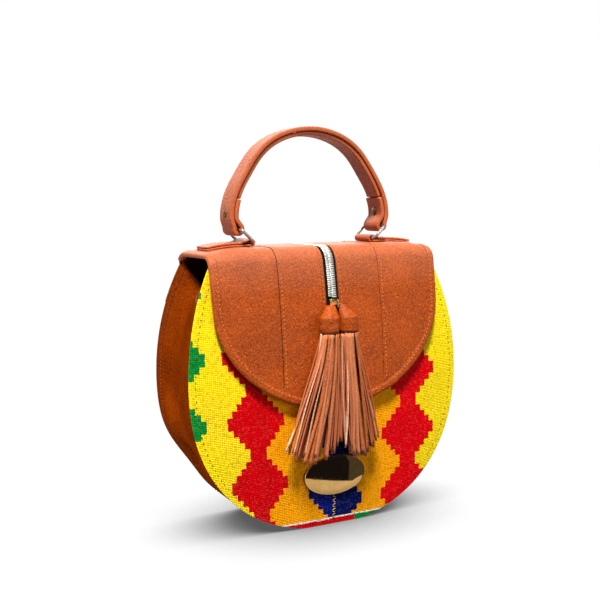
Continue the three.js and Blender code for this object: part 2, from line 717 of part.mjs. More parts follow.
function handleStrap() {
  const { archZ } = HANDLE;
  const { upperX: barX, upperZ: barZ } = RING;
  const path = new THREE.Path();
  path.absarc(0, archZ, TONGUE_X, TONGUE_TURN, 0, true);
  path.bezierCurveTo(TONGUE_X, archZ - 3, barX - STRAP_TURN, barZ + 3, barX - STRAP_TURN, barZ);
  path.absarc(barX, barZ, STRAP_TURN, Math.PI, 2 * Math.PI);
  path.bezierCurveTo(barX + STRAP_TURN, barZ + 3, STRAP_X, archZ - 3, STRAP_X, archZ);
  path.absarc(0, archZ, STRAP_X, 0, Math.PI);
  path.bezierCurveTo(-STRAP_X, archZ - 3, -barX - STRAP_TURN, barZ + 3, -barX - STRAP_TURN, barZ);
  path.absarc(-barX, barZ, STRAP_TURN, Math.PI, 2 * Math.PI);
  path.bezierCurveTo(-barX + STRAP_TURN, barZ + 3, -TONGUE_X, archZ - 3, -TONGUE_X, archZ);
  path.absarc(0, archZ, TONGUE_X, Math.PI, Math.PI - TONGUE_TURN, true);
  const frames = bandFrames(path, [2, 3, 7, 2, 22, 2, 7, 3, 2]);
  const strap = solidOf(sweep(frames, bandSection(HANDLE.width, HANDLE.wall, HANDLE.edge)));
  const holes = [-1, 1].map((side) => {
    const hole = new THREE.CylinderGeometry(RIVET.post + GAP, RIVET.post + GAP, 4 * HANDLE.wall, 10);
    return solidOf(onRivetAxis(hole, side));
  });
  return settled(geometryOf(holes.reduce((left, hole) => left.subtract(hole), strap)));
}

function handleLining() {
  const radius = STRAP_X - HANDLE.wall / 2 - GAP - HANDLE.liningWall / 2;
  const start = Math.asin((HANDLE.foldTopZ + 0.6 - HANDLE.archZ) / radius);
  const path = new THREE.Path();
  path.absarc(0, HANDLE.archZ, radius, start, Math.PI - start);
  const section = bandSection(HANDLE.liningWidth, HANDLE.liningWall, HANDLE.edge);
  return settled(sweep(bandFrames(path, [20]), section));
}

function rivet(side) {
  const { head, headWall, post } = RIVET;
  const reach = HANDLE.wall + GAP / 2 + GAP; // from the middle of the two layers to a head's seat
  const profile = [
    [0, -reach - headWall], [head - 0.7, -reach - headWall], [head, -reach], [post, -reach],
    [post, reach], [head, reach], [head - 0.7, reach + headWall], [0, reach + headWall],
  ];
  const lathe = new THREE.LatheGeometry(profile.map(([r, h]) => new THREE.Vector2(r, h)), 12);
  return settled(onRivetAxis(lathe, side));
}

// Assembly

const bag = new THREE.Group();
function place(name, geometry, material, group = bag) {
  const mesh = new THREE.Mesh(geometry, material);
  mesh.name = name;
  group.add(mesh);
}

const body = new THREE.Group();
bag.add(body);
place("front_panel", panel(-1), FINISH.cloth, body);
place("back_panel", panel(1), FINISH.cloth, body);
place("gusset", gusset(), FINISH.leather, body);
place("plaque", plaque(), FINISH.plaqueMetal, body);

const flap = new THREE.Group();
bag.add(flap);
for (const [name, side] of [["left", -1], ["right", 1]]) {
  place(`flap_${name}_inner`, flapInnerStrip(side), FINISH.leather, flap);
  place(`flap_${name}_outer`, flapOuterStrip(side), FINISH.leather, flap);
}
place("flap_binding", flapBinding(), FINISH.leather, flap);
place("zip_tape", zipTape(), FINISH.zipTape, flap);
place("zip_teeth", zipTeeth(), FINISH.zipMetal, flap);
place("zip_slider", zipSlider(), FINISH.zipMetal, flap);

const tassel = new THREE.Group();
flap.add(tassel);
place("tassel_loop", tasselLoop(), FINISH.tasselLeather, tassel);
for (const [name, side] of [["left", -1], ["right", 1]]) {
  place(`tassel_band_${name}`, tasselBand(side), FINISH.leather, tassel);
  place(`tassel_fringe_${name}`, tasselFringe(side, FRINGE_ENDS[name]), FINISH.tasselLeather, tassel);
}

const handle = new THREE.Group();
bag.add(handle);
place("handle_strap", handleStrap(), FINISH.leather, handle);
place("handle_lining", handleLining(), FINISH.leather, handle);
for (const [name, side] of [["left", -1], ["right", 1]]) {
  place(`tab_${name}`, tab(side), FINISH.leather, handle);
  place(`ring_${name}`, ring(side), FINISH.ringMetal, handle);
  place(`rivet_${name}`, rivet(side), FINISH.rivetMetal, handle);
}

export default bag;
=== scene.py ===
"""A round handbag of woven cloth and leather with a flap, zip, tassel and arched handle.

Every size is in metres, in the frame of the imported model: +Z is up and the front faces -Y.
"""

import logging
import math
import random
from bisect import bisect_left
from dataclasses import dataclass, field
from enum import Enum
from functools import cached_property
from typing import Callable

import bmesh
import bpy
from mathutils import Matrix, Vector, noise


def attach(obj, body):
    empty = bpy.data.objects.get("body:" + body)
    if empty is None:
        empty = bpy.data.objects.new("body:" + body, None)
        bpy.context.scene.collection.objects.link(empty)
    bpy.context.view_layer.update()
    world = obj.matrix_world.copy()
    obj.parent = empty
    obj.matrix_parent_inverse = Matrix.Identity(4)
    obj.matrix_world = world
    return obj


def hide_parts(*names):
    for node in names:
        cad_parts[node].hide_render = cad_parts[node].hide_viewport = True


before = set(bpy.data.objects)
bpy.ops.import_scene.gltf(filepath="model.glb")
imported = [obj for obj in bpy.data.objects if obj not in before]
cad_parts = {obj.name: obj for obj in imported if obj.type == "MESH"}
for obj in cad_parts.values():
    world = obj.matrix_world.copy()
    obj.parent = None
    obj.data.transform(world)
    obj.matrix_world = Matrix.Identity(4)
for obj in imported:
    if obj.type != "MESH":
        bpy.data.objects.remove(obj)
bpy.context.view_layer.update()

LOG = logging.getLogger("handbag")
MM = 0.001
GAP = 0.3 * MM
ALONG_X = Vector((1, 0, 0))
ALONG_Y = Vector((0, 1, 0))
UP = Vector((0, 0, 1))
HANDS = (("left", -1), ("right", 1))
STRIP_TONE = "strip_tone"

Colour = tuple[float, float, float, float]
Place = Callable[[float, float], Vector]

WHITE: Colour = (1.0, 1.0, 1.0, 1.0)
BLACK: Colour = (0.0, 0.0, 0.0, 1.0)


def srgb(code: str) -> Colour:
    """Turns a hex colour into linear values.

    Args:
        code: Six hex digits after a hash sign.

    Returns:
        Linear red, green, blue and an alpha of one.
    """
    parts = [int(code[i : i + 2], 16) / 255 for i in (1, 3, 5)]
    linear = [c / 12.92 if c <= 0.04045 else ((c + 0.055) / 1.055) ** 2.4 for c in parts]
    return (linear[0], linear[1], linear[2], 1.0)


def lerp(a: float, b: float, t: float) -> float:
    """The value a share t of the way from a to b."""
    return a + (b - a) * t


def smooth(value: float, low: float, high: float) -> float:
    """A soft step from zero at low to one at high."""
    t = min(1.0, max(0.0, (value - low) / (high - low)))
    return t * t * (3 - 2 * t)


def ripple(at: Vector, size: float, seed: float = 0.0) -> float:
    """Smooth noise between -1 and 1 whose lumps are about as wide as size."""
    return noise.noise(at / size + Vector((seed, seed * 1.7, seed * 0.6)))


def hump(value: float, middle: float, span: float) -> float:
    """A round rise that is one at its middle and fades away over a span."""
    return math.exp(-(((value - middle) / span) ** 2))


def run_lengths(points: list[Vector]) -> list[float]:
    """Measures a line.

    Args:
        points: Close points along the line.

    Returns:
        The length of the line up to each of its points.
    """
    lengths = [0.0]
    for before, after in zip(points, points[1:]):
        lengths.append(lengths[-1] + (after - before).length)
    return lengths


def locate(lengths: list[float], reach: float) -> tuple[int, float]:
    """Finds a place on a measured line.

    Args:
        lengths: The length of the line up to each of its points.
        reach: Length from the start to the place.

    Returns:
        The number of the point after the place, and the share of the way to it from the point before.
    """
    i = min(max(1, bisect_left(lengths, reach)), len(lengths) - 1)
    return i, (reach - lengths[i - 1]) / max(1e-9, lengths[i] - lengths[i - 1])


def placed(at: Vector, x_axis: Vector, y_axis: Vector, z_axis: Vector) -> Matrix:
    """The matrix that moves a unit shape to a point and stretches it along three axes."""
    return Matrix.Translation(at) @ Matrix((x_axis, y_axis, z_axis)).transposed().to_4x4()


class Slot(Enum):
    """The record's material slots."""

    CLOTH = "cloth"
    LEATHER = "leather"
    GUSSET = "gusset_leather"
    TASSEL = "tassel_leather"
    TAPE = "zip_tape"
    ZIP = "zip_metal"
    PLAQUE = "plaque_metal"
    RING = "ring_metal"
    RIVET = "rivet_metal"


class Graph:
    """The node tree of one material, with short methods that add and wire its nodes."""

    def __init__(self, name: str) -> None:
        """Starts a material with its shader and object coordinates.

        Args:
            name: Name of the material.
        """
        self.material = bpy.data.materials.new(name)
        self.material.use_nodes = True
        self.tree = self.material.node_tree
        self.shader = self.tree.nodes["Principled BSDF"]
        self.coords = self.tree.nodes.new("ShaderNodeTexCoord").outputs["Object"]

    def put(self, socket: bpy.types.NodeSocket, value: object) -> None:
        """Links a socket to another socket, or sets it to a plain value.

        Args:
            socket: The input that is fed.
            value: Another node's output, or a number or a colour.
        """
        if isinstance(value, bpy.types.NodeSocket):
            self.tree.links.new(value, socket)
        else:
            socket.default_value = value

    def set(self, **values: object) -> None:
        """Sets the shader's sockets, with underscores for the spaces in their names."""
        for key, value in values.items():
            self.put(self.shader.inputs[key.replace("_", " ")], value)

    def math(self, operation: str, *values: object) -> bpy.types.NodeSocket:
        """Adds one Math node.

        Args:
            operation: Blender's name for the operation.
            *values: Its operands, as numbers or sockets.

        Returns:
            The node's result.
        """
        node = self.tree.nodes.new("ShaderNodeMath")
        node.operation = operation
        for socket, value in zip(node.inputs, values):
            self.put(socket, value)
        return node.outputs[0]

    def split(self, vector: bpy.types.NodeSocket) -> list[bpy.types.NodeSocket]:
        """Takes a vector apart.

        Args:
            vector: The vector.

        Returns:
            Its three parts.
        """
        node = self.tree.nodes.new("ShaderNodeSeparateXYZ")
        self.put(node.inputs[0], vector)
        return list(node.outputs)

    def join(self, x: bpy.types.NodeSocket, y: bpy.types.NodeSocket) -> bpy.types.NodeSocket:
        """Puts a flat vector together.

        Args:
            x: Its first part.
            y: Its second part.

        Returns:
            The vector.
        """
        node = self.tree.nodes.new("ShaderNodeCombineXYZ")
        self.put(node.inputs[0], x)
        self.put(node.inputs[1], y)
        return node.outputs[0]

    def slanted(self, sizes: tuple[float, float, float], turn: float = 0.0) -> bpy.types.NodeSocket:
        """Turns the object coordinates about Y and counts them in lumps.

        Args:
            sizes: Sizes of a lump along the turned axes.
            turn: Angle of the turn.

        Returns:
            The coordinates.
        """
        node = self.tree.nodes.new("ShaderNodeMapping")
        node.vector_type = "TEXTURE"
        self.put(node.inputs["Vector"], self.coords)
        node.inputs["Rotation"].default_value = (0.0, turn, 0.0)
        node.inputs["Scale"].default_value = sizes
        return node.outputs[0]

    def noise(self, scale: float, detail: float = 3.0, rough: float = 0.55,
              vector: bpy.types.NodeSocket | None = None) -> bpy.types.NodeSocket:
        """Adds a noise texture.

        Args:
            scale: Lumps in a metre.
            detail: How many finer layers it has.
            rough: How strong those layers are.
            vector: Where it is read, or None for object coordinates.

        Returns:
            The noise's value.
        """
        node = self.tree.nodes.new("ShaderNodeTexNoise")
        self.put(node.inputs["Vector"], vector or self.coords)
        node.inputs["Scale"].default_value = scale
        node.inputs["Detail"].default_value = detail
        node.inputs["Roughness"].default_value = rough
        return node.outputs["Fac"]

    def cells(self, scale: float) -> bpy.types.NodeSocket:
        """Adds a texture of smooth cells.

        Args:
            scale: Cells in a metre.

        Returns:
            The distance from the middle of a cell.
        """
        node = self.tree.nodes.new("ShaderNodeTexVoronoi")
        node.feature = "SMOOTH_F1"
        self.put(node.inputs["Vector"], self.coords)
        node.inputs["Scale"].default_value = scale
        return node.outputs["Distance"]

    def chance(self, vector: bpy.types.NodeSocket) -> bpy.types.NodeSocket:
        """Gives each place of a stepped vector a fixed random value.

        Args:
            vector: The stepped vector.

        Returns:
            The value, from zero to one.
        """
        node = self.tree.nodes.new("ShaderNodeTexWhiteNoise")
        self.put(node.inputs["Vector"], vector)
        return node.outputs["Value"]

    def own(self, name: str) -> bpy.types.NodeSocket:
        """Reads a value that the mesh keeps for each of its points.

        Args:
            name: Name that it is kept under.

        Returns:
            The value.
        """
        node = self.tree.nodes.new("ShaderNodeAttribute")
        node.attribute_name = name
        return node.outputs["Fac"]

    def remap(self, value: bpy.types.NodeSocket, low: float, high: float,
              to_low: float = 0.0, to_high: float = 1.0) -> bpy.types.NodeSocket:
        """Maps a range of values to another, clamped to it.

        Args:
            value: What is mapped.
            low: Value that gives to_low.
            high: Value that gives to_high.
            to_low: Result at low.
            to_high: Result at high.

        Returns:
            The mapped value.
        """
        node = self.tree.nodes.new("ShaderNodeMapRange")
        for key, number in zip(("From Min", "From Max", "To Min", "To Max"), (low, high, to_low, to_high)):
            node.inputs[key].default_value = number
        self.put(node.inputs["Value"], value)
        return node.outputs[0]

    def mix(self, share: object, a: object, b: object, blend: str = "MIX") -> bpy.types.NodeSocket:
        """Blends two colours.

        Args:
            share: How much of b there is.
            a: First colour.
            b: Second colour.
            blend: Blender's name for the way they are blended.

        Returns:
            The blended colour.
        """
        node = self.tree.nodes.new("ShaderNodeMix")
        node.data_type = "RGBA"
        node.blend_type = blend
        self.put(node.inputs[0], share)
        self.put(node.inputs[6], a)
        self.put(node.inputs[7], b)
        return node.outputs[2]

    def bump(self, height: bpy.types.NodeSocket, distance: float) -> None:
        """Feeds a relief to the shader's normal.

        Args:
            height: The relief, in shares of a distance.
            distance: That distance.
        """
        node = self.tree.nodes.new("ShaderNodeBump")
        node.inputs["Distance"].default_value = distance
        self.put(node.inputs["Height"], height)
        self.put(self.shader.inputs["Normal"], node.outputs[0])


@dataclass(frozen=True)
class Leather:
    """Grained leather: pebbles, slanting creases, tone that wanders, and a painted highlight on high parts.
    """

    name: str
    light: str
    dark: str
    speck: str
    roughness: float = 0.5
    relief: float = 0.32 * MM
    specular: float = 0.22
    by_strip: bool = False
    top_highlight: str = ""
    highlight_from: float = 0.176
    highlight_to: float = 0.204
    highlight_share: float = 0.2
    pore_tint: str = "#8a4a20"
    strip_tint: str = "#d88a60"
    pebble: float = 1.5 * MM
    grain: float = 0.8 * MM
    cloud: float = 30 * MM
    crease_sizes: tuple[float, float, float] = (9 * MM, 5 * MM, 2.2 * MM)
    crease_turn: float = math.radians(-32)
    crease_patch: float = 26 * MM

    def creases(self, g: Graph) -> bpy.types.NodeSocket:
        """The slanting creases, which lie in patches.

        Args:
            g: The material's graph.

        Returns:
            One along the middle of a crease and zero beside it.
        """
        lines = g.noise(1.0, 2.0, 0.5, g.slanted(self.crease_sizes, self.crease_turn))
        ridge = g.remap(g.math("ABSOLUTE", g.math("SUBTRACT", lines, 0.5)), 0.0, 0.045, 1.0, 0.0)
        return g.math("MULTIPLY", ridge, g.remap(g.noise(1 / self.crease_patch, 1.0), 0.45, 0.62))

    @cached_property
    def material(self) -> bpy.types.Material:
        """The finish as a material, made once."""
        g = Graph(self.name)
        pebbles = g.cells(1 / self.pebble)
        fine = g.noise(1 / self.grain, 1.0, 0.5)
        tone = g.remap(g.noise(1 / self.cloud, 4.0, 0.6), 0.34, 0.66)
        crease = self.creases(g)
        pore = srgb(self.pore_tint)
        colour = g.mix(tone, srgb(self.dark), srgb(self.light))
        colour = g.mix(g.remap(pebbles, 0.2, 0.65, 0.0, 0.38), colour, pore, "MULTIPLY")
        colour = g.mix(g.remap(fine, 0.54, 0.72, 0.0, 0.5), colour, srgb(self.speck))
        colour = g.mix(g.remap(fine, 0.28, 0.46, 0.45, 0.0), colour, pore, "MULTIPLY")
        colour = g.mix(g.math("MULTIPLY", crease, 0.14), colour, pore, "MULTIPLY")
        if self.by_strip:
            colour = g.mix(g.remap(g.own(STRIP_TONE), 0.1, 0.9, 0.0, 0.6), colour, srgb(self.strip_tint))
        # Painted highlight: above a given height the colour is blended towards a paler tone, for the light
        # on the flap's top and everything higher.
        if self.top_highlight:
            z = g.split(g.coords)[2]
            painted_highlight = g.remap(z, self.highlight_from, self.highlight_to, 0.0, self.highlight_share)
            colour = g.mix(painted_highlight, colour, srgb(self.top_highlight))
        height = g.math("MULTIPLY_ADD", fine, 0.7, g.math("MULTIPLY", pebbles, -0.7))
        height = g.math("MULTIPLY_ADD", crease, -0.45, height)
        rough = g.remap(fine, 0.3, 0.7, self.roughness - 0.07, self.roughness + 0.1)
        g.set(Base_Color=colour, Roughness=rough, Specular_IOR_Level=self.specular)
        g.bump(height, self.relief)
        return g.material


@dataclass(frozen=True)
class CutEdge:
    """The raw or painted edge of cut leather, with fibres along it."""

    name: str
    light: str
    dark: str
    roughness: float = 0.75
    plain: str = ""

    @cached_property
    def material(self) -> bpy.types.Material:
        """The finish as a material, made once."""
        g = Graph(self.name)
        fibre = g.noise(1 / (1.2 * MM), 3.0, 0.6)
        colour = g.mix(g.remap(fibre, 0.35, 0.65), srgb(self.dark), srgb(self.light))
        if self.plain:
            colour = g.mix(g.remap(g.own(STRIP_TONE), 0.6, 0.75), srgb(self.plain), colour)
        g.set(Base_Color=colour)
        g.set(Roughness=g.remap(fibre, 0.3, 0.7, self.roughness - 0.1, self.roughness + 0.1))
        g.bump(fibre, 0.1 * MM)
        return g.material


@dataclass(frozen=True)
class Metal:
    """Polished or aged metal with faint scratches and worn tone."""

    name: str
    bright: str
    dull: str
    roughness: float
    wear: float = 0.06

    @cached_property
    def material(self) -> bpy.types.Material:
        """The finish as a material, made once."""
        g = Graph(self.name)
        cloud = g.noise(1 / (7 * MM), 4.0, 0.6)
        fine = g.noise(1 / (0.6 * MM), 2.0, 0.5, g.slanted((1.0, 1.0, 6.0)))
        g.set(Base_Color=g.mix(g.remap(cloud, 0.35, 0.7), srgb(self.bright), srgb(self.dull)))
        g.set(Roughness=g.remap(cloud, 0.3, 0.75, self.roughness, self.roughness + self.wear))
        g.shader.inputs["Metallic"].default_value = 1.0
        g.bump(fine, 0.004 * MM)
        return g.material


@dataclass(frozen=True)
class Thread:
    """Sewing thread with its twist."""

    name: str
    light: str
    dark: str

    @cached_property
    def material(self) -> bpy.types.Material:
        """The finish as a material, made once."""
        g = Graph(self.name)
        twist = g.noise(1 / (0.45 * MM), 1.0)
        g.set(Base_Color=g.mix(g.remap(twist, 0.35, 0.65), srgb(self.dark), srgb(self.light)))
        g.set(Roughness=0.75, Specular_IOR_Level=0.15)
        g.bump(twist, 0.08 * MM)
        return g.material


@dataclass(frozen=True)
class Twill:
    """Dark woven tape or lining with fine slanted ribs."""

    name: str
    light: str
    dark: str

    @cached_property
    def material(self) -> bpy.types.Material:
        """The finish as a material, made once."""
        g = Graph(self.name)
        x, y, z = g.split(g.coords)
        along = g.math("ADD", g.math("ADD", x, y), z)
        rib = g.math("SINE", g.math("MULTIPLY", along, 2 * math.pi / (0.9 * MM)))
        shade = g.remap(rib, -1.0, 1.0)
        g.set(Base_Color=g.mix(shade, srgb(self.dark), srgb(self.light)), Roughness=0.88)
        g.set(Specular_IOR_Level=0.1)
        g.bump(shade, 0.15 * MM)
        return g.material


@dataclass(frozen=True)
class Chain:
    """One upright chain of stepped diamonds in the cloth, in millimetres."""

    centre: float
    half: float
    neck: float
    phase: float
    colour: str
    lean: float = 0.0
    side: int = 0


@dataclass(frozen=True)
class WovenCloth:
    """Hand-woven cloth with upright chains of stepped diamonds, sewn of two lengths."""

    name: str
    turn: float = 1.0
    shift: float = 0.0
    period: float = 47.5
    steps: int = 5
    join: float = 0.5
    lean_from: float = 86.0
    yarn: float = 1.45
    pick: float = 1.3
    outer_ground: str = "#fde218"
    inner_ground: str = "#ffa805"
    inner_middle: float = 1.8
    inner_half: float = 64.8
    fray_x: float = 1.7
    fray_z: float = -1.3
    gap_tint: str = "#a8741e"
    fleck_tint: str = "#ffd2b0"
    foot_top: float = 4.9
    foot_sway: float = 1.3
    foot_red: str = "#d0030d"
    foot_red_middle: float = -13.0
    foot_red_half: float = 32.0
    foot_green: str = "#04822f"
    line_tint: str = "#efe9df"
    line_z: float = 4.7
    line_half: float = 0.65
    chains: tuple[Chain, ...] = (
        Chain(-122.5, 22.5, 6.0, 38.5, "#058c33"),
        Chain(-63.0, 21.8, 6.3, 38.5, "#d2030d", lean=0.0625),
        Chain(1.5, 22.5, 6.0, 27.0, "#081a78", side=-1),
        Chain(2.5, 22.5, 6.0, 17.0, "#031256", side=1),
        Chain(66.5, 24.5, 7.5, 17.0, "#e20310"),
    )

    def diamonds(self, g: Graph, x: bpy.types.NodeSocket, z: bpy.types.NodeSocket,
                 chain: Chain) -> bpy.types.NodeSocket:
        """The mask of one chain.

        Args:
            g: The material's graph.
            x: Place across the cloth.
            z: Place up the cloth.
            chain: The chain's sizes.

        Returns:
            One inside the chain and zero outside.
        """
        rise = g.math("PINGPONG", g.math("SUBTRACT", z, chain.phase), self.period / 2)
        level = g.math("FLOOR", g.math("MULTIPLY", rise, self.steps / (self.period / 2) * 0.999))
        step = (chain.half - chain.neck) / (self.steps - 1)
        half = g.math("MULTIPLY_ADD", level, -step, chain.half)
        middle = g.math("MULTIPLY_ADD", z, -chain.lean, chain.centre + chain.lean * self.lean_from)
        mask = g.math("LESS_THAN", g.math("ABSOLUTE", g.math("SUBTRACT", x, middle)), half)
        if not chain.side:
            return mask
        beside = "GREATER_THAN" if chain.side > 0 else "LESS_THAN"
        return g.math("MULTIPLY", mask, g.math(beside, x, self.join))

    def weave(self, g: Graph, x: bpy.types.NodeSocket,
              z: bpy.types.NodeSocket) -> tuple[bpy.types.NodeSocket, bpy.types.NodeSocket]:
        """The relief of the yarns.

        Args:
            g: The material's graph.
            x: Place across the cloth.
            z: Place up the cloth.

        Returns:
            The height of the yarns and a random value for each of them.
        """
        rows = g.math("DIVIDE", z, self.pick)
        row = g.math("FLOOR", rows)
        column = g.math("DIVIDE", x, self.yarn)
        across = g.math("SINE", g.math("MULTIPLY", g.math("FRACT", column), math.pi))
        upright = g.math("SINE", g.math("MULTIPLY", g.math("FRACT", rows), math.pi))
        height = g.math("POWER", g.math("MULTIPLY", across, upright), 0.6)
        return height, g.chance(g.join(g.math("FLOOR", column), row))

    @cached_property
    def material(self) -> bpy.types.Material:
        """The finish as a material, made once."""
        g = Graph(self.name)
        raw_x, _, raw_z = g.split(g.coords)
        x = g.math("MULTIPLY_ADD", raw_x, self.turn / MM, self.shift)
        z = g.math("DIVIDE", raw_z, MM)
        fray = g.math("SUBTRACT", g.noise(1 / (1.2 * MM), 1.0), 0.5)
        edge_x = g.math("MULTIPLY_ADD", fray, self.fray_x, x)
        edge_z = g.math("MULTIPLY_ADD", fray, self.fray_z, z)
        off_middle = g.math("ABSOLUTE", g.math("SUBTRACT", x, self.inner_middle))
        inner = g.math("LESS_THAN", off_middle, self.inner_half)
        colour = g.mix(inner, srgb(self.outer_ground), srgb(self.inner_ground))
        for chain in self.chains:
            colour = g.mix(self.diamonds(g, edge_x, edge_z, chain), colour, srgb(chain.colour))
        colour = self.selvedge(g, edge_x, edge_z, colour)
        height, chance = self.weave(g, x, z)
        colour = g.mix(g.remap(height, 0.1, 0.8, 0.38, 0.0), colour, srgb(self.gap_tint), "MULTIPLY")
        colour = g.mix(g.remap(chance, 0.72, 1.0, 0.0, 0.03), colour, srgb(self.fleck_tint))
        colour = g.mix(g.remap(chance, 0.0, 0.4, 0.34, 0.0), colour, srgb(self.gap_tint), "MULTIPLY")
        g.set(Base_Color=colour, Roughness=0.9, Specular_IOR_Level=0.02)
        g.bump(height, 0.26 * MM)
        return g.material

    def selvedge(self, g: Graph, x: bpy.types.NodeSocket, z: bpy.types.NodeSocket,
                 colour: bpy.types.NodeSocket) -> bpy.types.NodeSocket:
        """The band under the cloth's last white line, at the foot of the panel.

        Args:
            g: The material's graph.
            x: Place across the cloth.
            z: Place up the cloth.
            colour: The cloth's colour so far.

        Returns:
            The colour with the band.
        """
        off_middle = g.math("ABSOLUTE", g.math("SUBTRACT", x, self.foot_red_middle))
        red = g.math("LESS_THAN", off_middle, self.foot_red_half)
        band = g.mix(red, srgb(self.foot_green), srgb(self.foot_red))
        wander = g.noise(1 / (16 * MM), 2.0)
        sway = g.math("MULTIPLY_ADD", wander, -2 * self.foot_sway, self.foot_sway)
        z = g.math("ADD", z, sway)
        colour = g.mix(g.math("LESS_THAN", z, self.foot_top), colour, band)
        return g.mix(g.math("COMPARE", z, self.line_z, self.line_half), colour, srgb(self.line_tint))


# The tan leather's pale tone above the flap's bend is a painted highlight.
TAN = Leather("leather_tan", "#b24a03", "#9a3d02", "#de7828", specular=0.15, top_highlight="#ce8b6c")
# The gusset's leather is the tan leather painted darker, as painted shade for the side that faces away from
# the light. The back panel's rim uses it too.
TAN_SHADED = Leather("leather_gusset_painted_shade", "#833404", "#6c2702", "#9c460f", 0.6, 0.18 * MM, 0.0)
TASSEL_TAN = Leather("leather_tassel", "#cc6c30", "#ab4e18", "#ea9862", 0.6, 0.16 * MM, by_strip=True)
PALE_EDGE = CutEdge("leather_cut_edge", "#f2cdb0", "#cb8f6c", plain="#a8562a")
PAINTED_EDGE = CutEdge("leather_painted_edge", "#7d3208", "#5a2004", 0.5)
HANDLE_EDGE = CutEdge("handle_folded_edge", "#c45c1c", "#a3420c", 0.55)
GOLD = Metal("plaque_gold", "#cda463", "#c0955a", 0.04, 0.03)
NICKEL = Metal("ring_nickel", "#a09e9a", "#74726c", 0.16)
ZIP_NICKEL = Metal("zip_nickel", "#d8d8d0", "#a2a298", 0.25)
SLIDER_BRASS = Metal("slider_brass", "#a08a58", "#5a4826", 0.3, 0.15)
OLD_BRASS = Metal("rivet_brass", "#6e5628", "#3a2c10", 0.35, 0.15)
TAN_THREAD = Thread("thread_tan", "#e0924e", "#b05e22")
# This dark thread is only used for the cords of painted seam shadow.
SEAM_SHADOW_THREAD = Thread("thread_brown_seam_shadow", "#4a200a", "#220d05")
RUST_THREAD = Thread("thread_rust", "#a05c28", "#4e220a")
BLACK_THREAD = Thread("thread_black", "#4a3410", "#1c1206")
MAROON_THREAD = Thread("thread_maroon", "#4e1218", "#26060a")
OCHRE_THREAD = Thread("thread_ochre", "#d9b46a", "#8c6a2a")
FRONT_CLOTH = WovenCloth("cloth_front")
BACK_CLOTH = WovenCloth("cloth_back", turn=-1.0, shift=28.0)
TAPE = Twill("zip_tape_twill", "#231e1a", "#0a0807")
INNER = Twill("lining_twill", "#5a3419", "#341b0c")


def grid(steps_u: int, steps_v: int, place: Place, merge: bool = False) -> bmesh.types.BMesh:
    """A grid whose points are moved to a surface.

    Args:
        steps_u: Faces along the first direction.
        steps_v: Faces along the second direction.
        place: Gives the point for two shares from 0 to 1.
        merge: Whether edges that meet are joined.

    Returns:
        The surface as a bmesh.
    """
    bm = bmesh.new()
    bmesh.ops.create_grid(bm, x_segments=steps_u, y_segments=steps_v, size=0.5)
    for vert in bm.verts:
        vert.co = place(min(1.0, max(0.0, vert.co.x + 0.5)), min(1.0, max(0.0, vert.co.y + 0.5)))
    if merge:
        bmesh.ops.remove_doubles(bm, verts=bm.verts, dist=1e-6)
    return bm


def face_away(bm: bmesh.types.BMesh, middle: Vector) -> bmesh.types.BMesh:
    """Turns an open sheet so that its faces look away from a point.

    Args:
        bm: The sheet.
        middle: A point on its inner side.

    Returns:
        The same bmesh.
    """
    bm.normal_update()
    total = sum(f.normal.dot(f.calc_center_median() - middle) * f.calc_area() for f in bm.faces)
    if total < 0:
        bmesh.ops.reverse_faces(bm, faces=bm.faces)
    return bm


@dataclass
class Piece:
    """One object of the dressed model and the way that it is finished."""

    name: str
    bm: bmesh.types.BMesh
    finish: bpy.types.Material
    slot: Slot
    nodes: tuple[str, ...] = ()
    rim: bpy.types.Material | None = None
    lining: bpy.types.Material | None = None
    wall: float = 0.0
    inward: bool = True
    round: float = 0.0
    round_steps: int = 3
    closed: bool = False

    def build(self) -> bpy.types.Object:
        """Makes the object, adds its modifiers and ties it to the frame.

        Returns:
            The finished object.
        """
        if self.closed:
            bmesh.ops.recalc_face_normals(self.bm, faces=self.bm.faces)
        mesh = bpy.data.meshes.new(self.name)
        self.bm.to_mesh(mesh)
        self.bm.free()
        mesh.polygons.foreach_set("use_smooth", [True] * len(mesh.polygons))
        for finish in filter(None, (self.finish, self.rim, self.lining)):
            mesh.materials.append(finish)
        obj = bpy.data.objects.new(self.name, mesh)
        bpy.context.scene.collection.objects.link(obj)
        self.thicken(obj)
        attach(obj, "root")
        if self.nodes:
            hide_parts(*self.nodes)
        LOG.info("%s: %d faces", self.name, len(mesh.polygons))
        return obj

    def thicken(self, obj: bpy.types.Object) -> None:
        """Adds the wall and the rounded edges that the piece asks for.

        Args:
            obj: The piece's object.
        """
        if self.wall:
            solid = obj.modifiers.new("wall", "SOLIDIFY")
            solid.thickness = self.wall
            solid.offset = -1.0 if self.inward else 0.0
            solid.use_even_offset = True
            solid.material_offset_rim = 1 if self.rim else 0
            solid.material_offset = len(obj.data.materials) - 1 if self.lining else 0
        if self.round:
            bevel = obj.modifiers.new("rounded_edges", "BEVEL")
            bevel.width = self.round
            bevel.segments = self.round_steps
            bevel.limit_method = "ANGLE"
            bevel.angle_limit = math.radians(50)
            bevel.harden_normals = False


